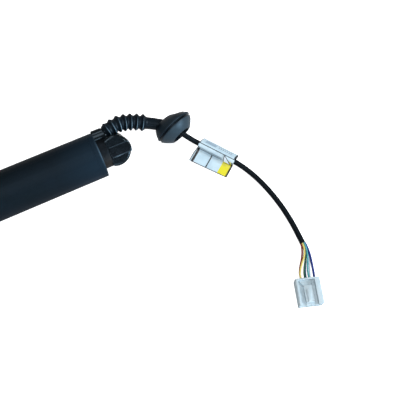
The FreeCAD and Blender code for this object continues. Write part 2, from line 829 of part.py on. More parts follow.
# Spindle, its bearing and the housing that also seats the guide tube and the spring
turned("bearing_housing", [
    (housingStart, "bearingOuter / 2 + studFit"),
    (housingStart, bedded),
    (housingEnd, bedded),
    (housingEnd, "guideOuter / 2 + studFit"),
    (guideStart, "guideOuter / 2 + studFit"),
    (guideStart, "housingBore / 2"),
    (bearingEnd, "housingBore / 2"),
    (bearingEnd, "bearingOuter / 2 + studFit"),
])
ring("bearing_outer", bearingStart, bearingEnd, "bearingInner / 2 + bearingSeal", "bearingOuter / 2")
ring("bearing_inner", bearingStart, bearingEnd, "spindleDiameter / 2 + studFit", "bearingInner / 2")
collarStart = bearingEnd + " + studFit"
turned("spindle", [
    (hubStart, "0"),
    (hubStart, "spindleDrive / 2"),
    (hubEnd, "spindleDrive / 2"),
    (hubEnd, "spindleDiameter / 2"),
    (collarStart, "spindleDiameter / 2"),
    (collarStart, "collarDiameter / 2"),
    (collarStart + " + collarLength", "collarDiameter / 2"),
    (collarStart + " + collarLength", "spindleDiameter / 2"),
    (spindleEnd, "spindleDiameter / 2"),
    (spindleEnd, "0"),
])
pushIn = "pushOuter / 2 - pushWall"
ring("spindle_end_guide", spindleEnd + " - endGuideLength", spindleEnd,
     "spindleDiameter / 2 + studFit", pushIn + " - runFit")
ring("guide_tube", guideStart, guideEnd, "guideOuter / 2 - guideWall", "guideOuter / 2")

# Nut and push tube
turned("spindle_nut", [
    ("nutStart", "spindleDiameter / 2 + runFit"),
    ("nutStart", "guideOuter / 2 - guideWall - runFit"),
    ("nutStart + nutLength", "guideOuter / 2 - guideWall - runFit"),
    ("nutStart + nutLength", "pushOuter / 2 + studFit"),
    ("nutStart + nutShoulder", "pushOuter / 2 + studFit"),
    ("nutStart + nutShoulder", "spindleDiameter / 2 + runFit"),
])
ring("push_tube", "nutStart + nutShoulder", pushEnd, pushIn, "pushOuter / 2")


# Thin round wire drawn as a six-sided bar of straight lengths, mitred where they meet

def wireBar(path, thickness, sides=6):
    runs = [(b - a).normalize() for a, b in zip(path, path[1:])]
    across = runs[0].cross(Vector(1, 0, 0) if abs(runs[0].x) < 0.9 else Vector(0, 0, 1)).normalize()
    upright = runs[0].cross(across)
    section = []
    for i in range(sides):
        angle = 2 * math.pi * i / sides
        section.append(path[0] + (across * math.cos(angle) + upright * math.sin(angle)) * (thickness / 2))
    loops = [section]
    for i, run in enumerate(runs):
        mitre = (run + runs[i + 1]).normalize() if i + 1 < len(runs) else run
        moved = []
        for p in loops[-1]:
            moved.append(p + run * ((path[i + 1] - p).dot(mitre) / run.dot(mitre)))
        loops.append(moved)
    faces = [Part.Face(Part.makePolygon(loop + loop[:1])) for loop in (loops[0], loops[-1])]
    for near, far in zip(loops, loops[1:]):
        for i in range(sides):
            j = (i + 1) % sides
            faces.append(Part.Face(Part.makePolygon([near[i], near[j], far[j], far[i], near[i]])))
    shape = Part.Solid(Part.makeShell(faces))
    if shape.Volume < 0:
        shape.reverse()
    return shape


def helix(start, end, mean, turns, perTurn=10):
    count = int(turns * perTurn)
    radius = mean / 2 / math.cos(math.pi / perTurn)
    angles = [2 * math.pi * i / perTurn for i in range(count + 1)]
    return [Vector(start + (end - start) * i / count, radius * math.cos(a), radius * math.sin(a))
            for i, a in enumerate(angles)]


springLine = helix(worth(housingEnd + " + springWire / 2"), worth(gateInner + " - springWire / 2"),
                   size("springMean"), size("springTurns"))
solidNode(wireBar(springLine, size("springWire")), "drive_spring")

# Sliding cover tube with its ring, and the bush and wiper at the barrel's mouth
coverIn = "coverOuter / 2 - coverWall"
turned("cover_tube", [
    ("coverStart", coverIn),
    ("coverStart", "coverOuter / 2"),
    (coverEnd + " - edgeBreak", "coverOuter / 2"),
    (coverEnd, "coverOuter / 2 - edgeBreak"),
    (coverEnd, coverIn),
])
ring("cover_guide_ring", "coverStart", "coverStart + coverRing",
     "coverOuter / 2 + studFit", barrelIn + " - runFit")
ring("mouth_bush", barrelFar + " - bushLength", barrelFar,
     "coverOuter / 2 + runFit", barrelIn + " - studFit")
turned("wiper_seal", [
    (barrelFar, "coverOuter / 2 + wiperLip"),
    (barrelFar, "barrelOuter / 2"),
    (barrelFar + " + wiperLength / 2", "barrelOuter / 2"),
    (barrelFar + " + wiperLength", "coverOuter / 2 + wiperLip"),
    (barrelFar + " + wiperLength", "coverOuter / 2 + runFit"),
    (barrelFar + " + wiperLength / 2", "coverOuter / 2 + runFit"),
])
studDepth = "centreDistance - drumFlat - studLength - studRoom"
gateBlank = turnedBody("gate_cap_blank", [
    (gateInner, "pushOuter / 2 + studFit"),
    (gateInner, coverIn + " - slipFit"),
    (gateFace, coverIn + " - slipFit"),
    (gateFace, "noseDiameter / 2"),
    ("centreDistance - drumFlat - edgeBreak", "noseDiameter / 2"),
    ("centreDistance - drumFlat", "noseDiameter / 2 - edgeBreak"),
    ("centreDistance - drumFlat", "studDiameter / 2 + studFit"),
    (studDepth, "studDiameter / 2 + studFit"),
    (studDepth, "0"),
    (pushEnd, "0"),
    (pushEnd, "pushOuter / 2 + studFit"),
])
gateWay = ballWay("gate_cap_ball_way", Vector(size("centreDistance"), 0, 0))
gateFlats = spannerFlats("gate_cap_flats", "centreDistance - drumFlat - noseFlat",
                         "centreDistance - drumFlat + 1")
node(cut("gate_cap", gateBlank, [gateWay, gateFlats]), "gate_cap")

# Rubber boot: bellows over the outlet's spigot, a plain neck and the panel grommet
pitchLength = size("bellowsPitch")
crests = [size("bellowsLead") + pitchLength * i for i in range(int(size("bellowsCount")))]


def grommetHoop(along, radius, lean=0.0):
    return hoop(grommetSpot + grommetAim * along + grommetLean * lean, grommetAim, radius)


rim = size("flangeDiameter") / 2
half = size("grooveWidth") / 2
front = size("cupLength")
neck = size("neckDiameter") / 2
crest = size("bellowsCrest") / 2
valley = size("bellowsValley") / 2
folds = [(0.0, neck)]
for number, at in enumerate(crests):
    slack = max(0, 2 - number) / 4 * (size("bellowsCrest") - size("bellowsFirst"))
    folds += [(at, crest - slack), (at + pitchLength / 2, valley)]
folds[-1] = (crests[-1] + 0.8 * pitchLength, neck)
folds += [(crests[-1] + 2 * pitchLength, neck), (crests[-1] + 4 * pitchLength, neck)]
bellows = Part.makeLoft([hoop(*spot(cableLine, bootStart + at), r) for at, r in folds], True, True)
grommet = Part.makeLoft([
    grommetHoop(-size("flangeDepth") - size("flangeLip"), size("flangeBack") / 3, 1.2 * leanShift),
    grommetHoop(-size("flangeDepth"), size("flangeBack") / 2, leanShift),
    grommetHoop(-size("flangeDepth") * 0.6, rim - size("rimDrop"), 0.28 * leanShift),
    grommetHoop(-half - size("rimWidth"), rim),
    grommetHoop(-half, rim),
    grommetHoop(-half + size("studFit"), rim - size("grooveDepth")),
    grommetHoop(half - size("studFit"), rim - size("grooveDepth")),
    grommetHoop(half, rim - size("edgeBreak")),
    grommetHoop(half + front / 3, rim - 4 * size("edgeBreak")),
    grommetHoop(front, size("cupFront") / 2),
], True, True)
boot = bellows.fuse(grommet)
bore = tube(route(bootPoints, "boot bore"), size("bootBore") / 2, "boot bore")
cableRoom = tube(cableLine, size("cableDiameter") / 2 + size("studFit"), "cable room")
spigotRoom = Part.makeCylinder(size("spigotDiameter") / 2 + size("studFit"),
                               size("spigotLength") + size("runFit"), outletTip, outletAim)
wallFront = size("cupFront") / 2 - size("cupWall")
web = grommetSpot + grommetAim * size("cupFloor")
past = size("runFit")
hollow = Part.makeCone(wallFront - size("cupTaper"), wallFront + past,
                       front - size("cupFloor") + past, web, grommetAim)
boot = boot.cut(bore).cut(cableRoom).cut(spigotRoom).cut(hollow)
solidNode(boot, "bellows_boot")

# Cable, and the motor's lead that meets it inside the outlet
solidNode(tube(cableLine, size("cableDiameter") / 2, "cable"), "cable")
lead = aimed("motor_lead", ductStart, outletAim, "cableDiameter / 2",
             "capPlug + outletRoot + outletLength - cableInset - slipFit")
node(lead, "motor_lead")

# Connector: housing with a sunk deck between two rails and a rear wall, terminals in two rows and
# a latch arm.
# Its own X is the mating direction, Z up from the ground it lies on.
ground = -size("barrelOuter") / 2
plugSpot = Vector(-91.6, 164.2, 0) * unit + Vector(0, 0, ground)
plugPlace = Placement(plugSpot, Rotation(Vector(0, 0, 1), size("plugAngle")))
columns = range(4)
rows = ("cavityRow", "cavityRow + rowPitch")


def columnAt(level, column):
    # the upper row stands half a stagger to the left, the lower row to the right
    return "(%.1f) * cavityPitch + columnShift + (%.1f) * rowStagger" % (column - 1.5, 0.5 - level)


deckLeft = "-plugWidth / 2 + railLeft"
deckRight = "plugWidth / 2 - railRight"

housing = doc.addObject("PartDesign::Body", "connector_blank")
footprint = sketchOn(housing, "XY_Plane", "connector_footprint")
rectangle(footprint, "0", "-plugWidth / 2", "plugLength", "plugWidth / 2")
lift = housing.newObject("PartDesign::Pad", "connector_pad")
lift.Profile = footprint
lift.setExpression("Length", bound("plugHeight"))
doc.recompute()
uprights = []
for number, edge in enumerate(lift.Shape.Edges, start=1):
    if abs(edge.tangentAt(edge.FirstParameter).z) > 0.99:
        uprights.append("Edge%d" % number)
soft = housing.newObject("PartDesign::Fillet", "connector_corners")
soft.Base = (lift, uprights)
soft.setExpression("Radius", bound("cornerRadius"))

latchTop = "deckHeight + latchLift + latchThickness"
rootHeight = "deckHeight + latchLift + latchThickness / 2"
rootSpot = "plugLength - latchRootInset"
deck = block("connector_deck", ("rearWall", deckLeft, "deckHeight"),
             ("%s - latchRoot" % rootSpot, deckRight, "2 * plugHeight"))
seat = block("connector_seat", ("%s - 2 * latchRoot" % rootSpot, deckLeft,
                                "%s - latchRoot / 2 - runFit" % rootHeight),
             ("plugLength + 1", deckRight, "2 * plugHeight"))
cavities = []
for level, row in enumerate(rows):
    for column in columns:
        middle = columnAt(level, column)
        cavities.append(block("cavity_%d_%d" % (level, column),
                              ("-1", "%s - cavitySize / 2" % middle, "%s - cavitySize / 2" % row),
                              ("plugLength + 1", "%s + cavitySize / 2" % middle,
                               "%s + cavitySize / 2" % row)))
shell = cut("connector_shell", housing, [deck, seat] + cavities)

latchLeft = deckLeft + " + latchInset"
latchRight = latchLeft + " + latchWidth"
funnel = []
for hand, outerEdge, innerEdge in (("left", deckLeft, latchLeft + " - latchGap"),
                                   ("right", deckRight, latchRight + " + latchGap")):
    wing = doc.addObject("PartDesign::Body", "funnel_" + hand)
    plan = sketchOn(wing, "XY_Plane", "funnel_%s_plan" % hand)
    outline(plan, [
        ("funnelInset", outerEdge),
        ("funnelInset + funnelWall", outerEdge),
        ("funnelLength + funnelWall", innerEdge),
        ("funnelLength", innerEdge),
    ])
    plan.setExpression("AttachmentOffset.Base.z", bound("deckHeight - latchGap"))
    stand = wing.newObject("PartDesign::Pad", "funnel_%s_pad" % hand)
    stand.Profile = plan
    stand.setExpression("Length", bound("funnelHeight + latchGap"))
    funnel.append(wing)
plug = node(fused("connector_housing", [shell] + funnel), "connector_housing")
plug.Placement = plugPlace

terminals = doc.addObject("Part::Compound", "connector_terminals")
wired = [(level, column) for level in (0, 1) for column in columns][:7]
pins = []
for level, column in wired:
    middle = columnAt(level, column)
    floor = "%s - cavitySize / 2" % rows[level]
    pins.append(block("terminal_%d_%d" % (level, column),
                      ("plugLength / 2 - terminalLength / 2", "%s - terminalSize / 2" % middle, floor),
                      ("plugLength / 2 + terminalLength / 2", "%s + terminalSize / 2" % middle,
                       "%s + terminalSize" % floor)))
terminals.Links = pins
node(terminals, "connector_terminals")
terminals.Placement = plugPlace

latch = doc.addObject("PartDesign::Body", "latch_body")
arm = sketchOn(latch, "XZ_Plane", "latch_arm")
outline(arm, [
    ("latchStart", "deckHeight + latchLift"),
    (rootSpot, "deckHeight + latchLift"),
    (rootSpot, latchTop),
    ("latchStart", latchTop),
])
arm.setExpression("AttachmentOffset.Base.z", bound("-(%s)" % latchLeft))
armPad = latch.newObject("PartDesign::Pad", "latch_arm_pad")
armPad.Profile = arm
armPad.Reversed = True
armPad.setExpression("Length", bound("latchWidth"))
ridge = sketchOn(latch, "XZ_Plane", "latch_ridge")
rectangle(ridge, "latchStart + thumbLength", latchTop + " - latchThickness / 2", rootSpot,
          latchTop + " + latchRidgeHeight")
ridge.setExpression("AttachmentOffset.Base.z",
                    bound("-(%s + latchWidth / 2 - latchRidge / 2)" % latchLeft))
ridgePad = latch.newObject("PartDesign::Pad", "latch_ridge_pad")
ridgePad.Profile = ridge
ridgePad.Reversed = True
ridgePad.setExpression("Length", bound("latchRidge"))
latchRoot = doc.addObject("Part::Cylinder", "latch_root")
latchRoot.Placement = Placement(Vector(), Rotation(Vector(1, 0, 0), -90))
latchRoot.setExpression("Radius", bound("latchRoot / 2"))
latchRoot.setExpression("Height", bound("latchWidth"))
latchRoot.setExpression("Placement.Base.x", bound(rootSpot))
latchRoot.setExpression("Placement.Base.y", bound(latchLeft))
latchRoot.setExpression("Placement.Base.z", bound(rootHeight))
latchSolid = node(fused("connector_latch_solid", [latch, latchRoot]), "connector_latch")
latchSolid.Placement = plugPlace

# Tails: seven wires from the end of the sheath into the connector's cavities
sheathEnd = cablePoints[-1]
sheathAim = (cablePoints[-1] - cablePoints[-2]).normalize()
across = Vector(0, 0, 1).cross(sheathAim).normalize()
upward = sheathAim.cross(across)
mateAim = plugPlace.Rotation.multVec(Vector(1, 0, 0))
tailLead = size("tailLead")
tails = []
around = (180, 240, 300, 0, 120, None, 60)  # degrees round the sheath, one wire in its middle
supply = 3  # the thicker wire
for number, (level, column) in enumerate(wired):
    thickness = size("supplyDiameter" if number == supply else "tailDiameter")
    begin = sheathEnd
    if around[number] is not None:
        angle = math.radians(around[number])
        reach = (size("tailCircle") + thickness - size("tailDiameter")) / 2
        begin = begin + (across * math.cos(angle) + upward * math.sin(angle)) * reach
    mouth = plugPlace.multVec(Vector(0, worth(columnAt(level, column)), worth(rows[level])))
    inside = mouth + mateAim * (worth("plugLength / 2 - terminalLength / 2"))
    points = [begin, begin + sheathAim * tailLead, mouth - mateAim * tailLead, inside]
    line = route(points, "tail %d" % number).discretize(Number=14)
    tails.append(wireBar(line, thickness))
solidNode(Part.makeCompound(tails), "connector_tails")

# Paper flag: a sheet folded round the cable and closed on itself, drawn as its section across
# the cable (aside, up from the cable's centre) and pulled along the cable's chord
flagNear = spot(cableLine, size("flagStart"))[0]
flagFar = spot(cableLine, size("flagStart") + size("flagLength"))[0]
flagAim = flagFar - flagNear
aside = Vector(flagAim.y, -flagAim.x, 0).normalize()
thick = size("flagThickness")
reach = size("flagReach")
fold = -size("flagFold")
over = size("cableDiameter") / 2 + size("flagRoom")
under = -over
rise = size("cableDiameter") / 2 + 2 * size("flagRoom")
section = [
    (reach, under - thick), (fold, under - thick), (fold - thick, under + thick),
    (-0.6 * rise, over + thick), (0.6 * rise, over + thick), (2.2 * rise, under + 2 * thick),
    (reach, under + 1.6 * thick), (reach, under + 0.6 * thick), (2.2 * rise - thick, under + thick),
    (0.6 * rise - thick, over), (-0.6 * rise + thick, over), (fold + thick, under + thick),
    (fold + 2 * thick, under), (reach, under),
]
spots = [flagNear + aside * q + Vector(0, 0, z) for q, z in section]
flag = Part.Face(Part.makePolygon(spots + spots[:1])).extrude(flagAim)
solidNode(flag, "cable_label")

doc.recompute()

faults = [thing.Name for thing in doc.Objects if {"Invalid", "Error"} & set(thing.State)]
for thing in nodes:
    if thing.Shape.isNull() or not thing.Shape.isValid() or not thing.Shape.Solids:
        faults.append(thing.Label)
if faults:
    raise SystemExit("failed: " + ", ".join(faults))

os.makedirs("parts", exist_ok=True)
for thing in nodes:
    thing.Shape.exportStep("parts/%s.step" % thing.Label)
print("%d nodes, %d solids" % (len(nodes), sum(len(thing.Shape.Solids) for thing in nodes)))
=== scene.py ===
import json
import math
import bpy
from mathutils import Matrix, Vector


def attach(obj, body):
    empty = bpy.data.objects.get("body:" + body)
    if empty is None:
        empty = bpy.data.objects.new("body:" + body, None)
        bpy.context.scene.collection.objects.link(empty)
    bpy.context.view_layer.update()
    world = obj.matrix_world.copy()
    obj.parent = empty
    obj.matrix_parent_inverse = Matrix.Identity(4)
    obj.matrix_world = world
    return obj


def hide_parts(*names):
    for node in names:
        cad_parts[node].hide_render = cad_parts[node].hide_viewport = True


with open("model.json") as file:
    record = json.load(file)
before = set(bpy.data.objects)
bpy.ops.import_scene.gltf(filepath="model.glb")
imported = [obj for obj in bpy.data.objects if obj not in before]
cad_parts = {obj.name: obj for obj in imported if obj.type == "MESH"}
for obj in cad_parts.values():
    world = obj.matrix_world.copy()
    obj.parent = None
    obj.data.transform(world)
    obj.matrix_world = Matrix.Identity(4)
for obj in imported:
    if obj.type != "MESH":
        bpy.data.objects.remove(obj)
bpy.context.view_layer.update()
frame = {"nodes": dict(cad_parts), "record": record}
nodes = frame["nodes"]
mm = 0.001
hair = 0.01  # mm, keeps two faces out of one plane
print("frame loaded:", len(nodes), "nodes")


# Camera at the photograph's angle, then light and ground

cameraView = {
    "place": (37.3, 240.24, 415.79),  # mm
    "heading": 154.014,  # degrees
    "downTilt": 65.936,
    "focalLength": 570.78,  # pixels
    "pictureWidth": 400,
    "sensor": 36.0,  # mm
}


def setCamera(view):
    data = bpy.data.cameras.new("photoCamera")
    data.sensor_fit = "HORIZONTAL"
    data.sensor_width = view["sensor"]
    data.lens = view["focalLength"] / view["pictureWidth"] * view["sensor"]
    data.clip_start = 0.01
    camera = bpy.data.objects.new("photoCamera", data)
    camera.location = Vector(view["place"]) * mm
    camera.rotation_euler = (math.radians(90 - view["downTilt"]), 0, math.radians(view["heading"]))
    bpy.context.scene.collection.objects.link(camera)
    bpy.context.scene.camera = camera


studio = {
    "ground": -19.1,  # mm, just under the barrel
    "groundSize": 6000,
    "groundShade": 0.92,
    "groundMirrored": 0.55,  # its shade in reflections, as a small sheet in a dim room has
    "groundGlow": 0.75,
    "skyStrength": 0.2,
    "lamps": (  # name, place mm, aim mm, width and height mm, watts, colour
        ("overhead", (375, 650, 2000), (60, 20, 0), (1500, 1500), 26, (1, 1, 1)),
        ("besideCamera", (-1400, 900, 1000), (-60, 60, 0), (500, 500), 22, (1, 1, 1)),
        ("farSide", (-350, -850, 1600), (20, 0, 0), (700, 700), 7, (1, 1, 1)),
        ("leftWindow", (-1050, 1350, 260), (-40, 30, 0), (900, 480), 27, (0.66, 0.86, 1)),
        ("frontWindow", (0, 1600, 420), (0, 0, 0), (300, 800), 4.5, (0.8, 0.92, 1)),
    ),
}


def byRay(tree, kind, others, these, socket):
    ray = tree.nodes.new("ShaderNodeLightPath")
    choice = tree.nodes.new("ShaderNodeMapRange")
    choice.inputs["To Min"].default_value = others
    choice.inputs["To Max"].default_value = these
    tree.links.new(ray.outputs[kind], choice.inputs["Value"])
    tree.links.new(choice.outputs["Result"], socket)


def setStudio(kit):
    world = bpy.data.worlds.new("paleRoom")
    world.use_nodes = True
    tree = world.node_tree
    room = tree.nodes["Background"]
    room.inputs["Color"].default_value = (1, 1, 1, 1)
    byRay(tree, "Is Camera Ray", kit["skyStrength"], 1, room.inputs["Strength"])  # white, but a dim light
    bpy.context.scene.world = world
    bpy.context.scene.view_settings.view_transform = "Standard"
    for name, place, aim, size, watts, colour in kit["lamps"]:
        data = bpy.data.lights.new(name, "AREA")
        data.energy = watts
        data.color = colour
        data.shape = "ELLIPSE"
        data.size, data.size_y = size[0] * mm, size[1] * mm
        lamp = bpy.data.objects.new(name, data)
        lamp.location = Vector(place) * mm
        lamp.rotation_euler = (Vector(aim) - Vector(place)).to_track_quat("-Z", "Y").to_euler()
        bpy.context.scene.collection.objects.link(lamp)
    clearSelection()
    bpy.ops.mesh.primitive_plane_add(size=kit["groundSize"] * mm, location=(0, 0, kit["ground"] * mm))
    ground = bpy.context.active_object
    ground.name = "ground"
    paper = bpy.data.materials.new("groundPaper")
    paper.use_nodes = True
    shader = paper.node_tree.nodes["Principled BSDF"]
    shader.inputs["Roughness"].default_value = 0.9
    shader.inputs["Emission Color"].default_value = (1, 1, 1, 1)
    shade, glow = shader.inputs["Base Color"], shader.inputs["Emission Strength"]
    byRay(paper.node_tree, "Is Glossy Ray", kit["groundShade"], kit["groundMirrored"], shade)
    byRay(paper.node_tree, "Is Camera Ray", 0, kit["groundGlow"], glow)
    ground.data.materials.append(paper)


# Small helpers for modelling

def clearSelection():
    if bpy.context.mode != "OBJECT":
        bpy.ops.object.mode_set(mode="OBJECT")
    bpy.ops.object.select_all(action="DESELECT")


def editMode(piece, kind="VERT"):
    clearSelection()
    piece.select_set(True)
    bpy.context.view_layer.objects.active = piece
    bpy.ops.object.mode_set(mode="EDIT")
    bpy.ops.mesh.select_mode(type=kind)


def pickFaces(piece, test):
    editMode(piece, "FACE")
    bpy.ops.mesh.select_all(action="DESELECT")
    bpy.ops.object.mode_set(mode="OBJECT")
    for face in piece.data.polygons:
        face.select = test(face.center / mm, face.normal)
    bpy.ops.object.mode_set(mode="EDIT")


def pickEdges(piece, test):
    editMode(piece, "EDGE")
    bpy.ops.mesh.select_all(action="DESELECT")
    bpy.ops.object.mode_set(mode="OBJECT")
    spots = piece.data.vertices
    for edge in piece.data.edges:
        a, b = (spots[i].co / mm for i in edge.vertices)
        edge.select = test(a, b)
    bpy.ops.object.mode_set(mode="EDIT")


def settle(piece):
    clearSelection()
    piece.select_set(True)
    bpy.context.view_layer.objects.active = piece
    bpy.ops.object.transform_apply(location=True, rotation=True, scale=True)
    return piece


def applyModifier(piece, modifier):
    clearSelection()
    piece.select_set(True)
    bpy.context.view_layer.objects.active = piece
    bpy.ops.object.modifier_apply(modifier=modifier.name)


def softenEdges(piece, width, segments=2, angle=35):
    bevel = piece.modifiers.new("edges", "BEVEL")
    bevel.width = width * mm
    bevel.segments = segments
    bevel.limit_method = "ANGLE"
    bevel.angle_limit = math.radians(angle)
    bevel.harden_normals = False
    applyModifier(piece, bevel)


def smooth(piece, angle=35):
    clearSelection()
    piece.select_set(True)
    bpy.context.view_layer.objects.active = piece
    bpy.ops.object.shade_smooth_by_angle(angle=math.radians(angle))


def evenFlats(piece):
    normals = piece.modifiers.new("evenFlats", "WEIGHTED_NORMAL")
    normals.weight = 100
    normals.keep_sharp = True
    applyModifier(piece, normals)


# Marks each vertex with its share of a painted highlight.
def markHighlight(piece, share):
    highlightShare = piece.data.attributes.new("highlightShare", "FLOAT", "POINT")
    for spot, mark in zip(piece.data.vertices, highlightShare.data):
        mark.value = share(*(spot.co / mm))


def carve(piece, tool, operation="DIFFERENCE"):
    boolean = piece.modifiers.new("carve", "BOOLEAN")
    boolean.operation = operation
    boolean.solver = "EXACT"
    boolean.object = tool
    applyModifier(piece, boolean)
    bpy.data.objects.remove(tool)


def weld(pieces, name):
    clearSelection()
    for piece in pieces:
        piece.select_set(True)
    bpy.context.view_layer.objects.active = pieces[0]
    bpy.ops.object.join()
    pieces[0].name = name
    return pieces[0]


def turnOver(piece):
    editMode(piece)
    bpy.ops.mesh.select_all(action="SELECT")
    bpy.ops.mesh.remove_doubles(threshold=1e-6)
    bpy.ops.mesh.normals_make_consistent(inside=False)
    bpy.ops.object.mode_set(mode="OBJECT")


# A round piece: a circle extruded ring by ring along X. Rings are (x, radius, lean along Y), mm.

def ringShell(name, rings, segments=96, closed=False):
    rings = [tuple(ring) + (0.0,) * (3 - len(ring)) for ring in rings]
    clearSelection()
    x, radius, lean = rings[0]
    bpy.ops.mesh.primitive_circle_add(
        vertices=segments, radius=radius * mm, fill_type="NOTHING" if closed else "NGON",
        location=(x * mm, lean * mm, 0), rotation=(0, math.pi / 2, 0))
    piece = bpy.context.active_object
    piece.name = name
    settle(piece)
    editMode(piece, "EDGE")
    bpy.ops.mesh.select_all(action="SELECT")
    for (xa, ra, la), (xb, rb, lb) in zip(rings, rings[1:]):
        step = ((xb - xa) * mm, (lb - la) * mm, 0)
        bpy.ops.mesh.extrude_edges_move(TRANSFORM_OT_translate={"value": step})
        if abs(rb - ra) > 1e-6:
            bpy.ops.transform.resize(value=(1, rb / ra, rb / ra), center_override=(xb * mm, lb * mm, 0))
    if not closed:
        bpy.ops.mesh.edge_face_add()
    bpy.ops.object.mode_set(mode="OBJECT")
    turnOver(piece)
    return piece


def block(name, low, high):
    clearSelection()
    low, high = Vector(low), Vector(high)
    bpy.ops.mesh.primitive_cube_add(size=mm, location=(low + high) / 2 * mm)
    piece = bpy.context.active_object
    piece.name = name
    piece.scale = high - low
    return settle(piece)


def peg(name, start, aim, radius, length, segments=64):
    clearSelection()
    start, aim = Vector(start), Vector(aim).normalized()
    bpy.ops.mesh.primitive_cylinder_add(vertices=segments, radius=radius * mm, depth=length * mm)
    piece = bpy.context.active_object
    piece.name = name
    piece.rotation_mode = "QUATERNION"
    piece.rotation_quaternion = Vector((0, 0, 1)).rotation_difference(aim)
    piece.location = (start + aim * length / 2) * mm
    return settle(piece)


def standAt(piece, place):
    piece.matrix_world = place
    return settle(piece)


def framed(origin, along, aside):
    along = Vector(along).normalized()
    aside = (Vector(aside) - along * Vector(aside).dot(along)).normalized()
    up = along.cross(aside)
    place = Matrix((along, aside, up)).transposed().to_4x4()
    place.translation = Vector(origin) * mm
    return place


def softLine(name, points, thickness=0.0, steps=16):
    data = bpy.data.curves.new(name, "CURVE")
    data.dimensions = "3D"
    data.resolution_u = steps
    data.bevel_depth = thickness / 2 * mm
    data.bevel_resolution = 6
    data.use_fill_caps = thickness > 0
    spline = data.splines.new("NURBS")
    spline.points.add(len(points) - 1)
    for spot, point in zip(spline.points, points):
        spot.co = (*(Vector(point) * mm), 1)
    spline.order_u = 3
    spline.use_endpoint_u = True
    line = bpy.data.objects.new(name, data)
    bpy.context.scene.collection.objects.link(line)
    return line


# Finishes. Patterns read Object coordinates, in metres.

def tint(red, green, blue):
    parts = [c / 255 for c in (red, green, blue)]
    return tuple(c / 12.92 if c <= 0.04045 else ((c + 0.055) / 1.055) ** 2.4 for c in parts) + (1.0,)


def mottled(name, dark, light, patch, rough, grain=0.0, grainSize=2500, metallic=0.0, coat=0.0,
            specular=0.5, gleam=(1, 1, 1, 1)):
    finish = bpy.data.materials.new(name)
    finish.use_nodes = True
    tree = finish.node_tree
    shader = tree.nodes["Principled BSDF"]
    shader.inputs["Metallic"].default_value = metallic
    shader.inputs["Specular IOR Level"].default_value = specular
    shader.inputs["Coat Weight"].default_value = coat
    shader.inputs["Coat Roughness"].default_value = 0.25
    shader.inputs["Specular Tint"].default_value = gleam
    where = tree.nodes.new("ShaderNodeTexCoord")
    cloud = tree.nodes.new("ShaderNodeTexNoise")
    cloud.inputs["Scale"].default_value = patch
    cloud.inputs["Detail"].default_value = 5
    tree.links.new(where.outputs["Object"], cloud.inputs["Vector"])
    ramp = tree.nodes.new("ShaderNodeValToRGB")
    ramp.color_ramp.elements[0].position = 0.3
    ramp.color_ramp.elements[0].color = dark
    ramp.color_ramp.elements[1].position = 0.7
    ramp.color_ramp.elements[1].color = light
    tree.links.new(cloud.outputs["Fac"], ramp.inputs["Fac"])
    tree.links.new(ramp.outputs["Color"], shader.inputs["Base Color"])
    wearAndSheen = tree.nodes.new("ShaderNodeMapRange")
    wearAndSheen.inputs["To Min"].default_value = rough[0]
    wearAndSheen.inputs["To Max"].default_value = rough[1]
    tree.links.new(cloud.outputs["Fac"], wearAndSheen.inputs["Value"])
    tree.links.new(wearAndSheen.outputs["Result"], shader.inputs["Roughness"])
    if grain:
        pores = tree.nodes.new("ShaderNodeTexNoise")
        pores.inputs["Scale"].default_value = grainSize
        pores.inputs["Detail"].default_value = 3
        tree.links.new(where.outputs["Object"], pores.inputs["Vector"])
        bump = tree.nodes.new("ShaderNodeBump")
        bump.inputs["Strength"].default_value = 0.5
        bump.inputs["Distance"].default_value = grain * mm
        tree.links.new(pores.outputs["Fac"], bump.inputs["Height"])
        tree.links.new(bump.outputs["Normal"], shader.inputs["Normal"])
    return finish


def shaded(finish, axis, start, end, colour):
    tree = finish.node_tree
    shader = tree.nodes["Principled BSDF"]
    where = tree.nodes.new("ShaderNodeTexCoord")
    parts = tree.nodes.new("ShaderNodeSeparateXYZ")
    tree.links.new(where.outputs["Object"], parts.inputs["Vector"])
    share = tree.nodes.new("ShaderNodeMapRange")
    share.inputs["From Min"].default_value = start * mm
    share.inputs["From Max"].default_value = end * mm
    tree.links.new(parts.outputs[axis], share.inputs["Value"])
    mix = tree.nodes.new("ShaderNodeMixRGB")
    mix.inputs["Color2"].default_value = colour
    tree.links.new(share.outputs["Result"], mix.inputs["Fac"])
    tree.links.new(shader.inputs["Base Color"].links[0].from_socket, mix.inputs["Color1"])
    tree.links.new(mix.outputs["Color"], shader.inputs["Base Color"])
    return finish


# Paints a highlight: a lighter colour and a lower roughness where the vertices' marked share is high.
def paintedHighlight(finish, attribute, rough, colour):
    tree = finish.node_tree
    shader = tree.nodes["Principled BSDF"]
    where = tree.nodes.new("ShaderNodeAttribute")
    where.attribute_name = attribute
    gloss = tree.nodes.new("ShaderNodeMapRange")
    gloss.inputs["To Max"].default_value = rough
    tree.links.new(where.outputs["Fac"], gloss.inputs["Value"])
    tree.links.new(shader.inputs["Roughness"].links[0].from_socket, gloss.inputs["To Min"])
    tree.links.new(gloss.outputs["Result"], shader.inputs["Roughness"])
    mix = tree.nodes.new("ShaderNodeMixRGB")
    mix.inputs["Color2"].default_value = colour
    tree.links.new(where.outputs["Fac"], mix.inputs["Fac"])
    tree.links.new(shader.inputs["Base Color"].links[0].from_socket, mix.inputs["Color1"])
    tree.links.new(mix.outputs["Color"], shader.inputs["Base Color"])
    return finish


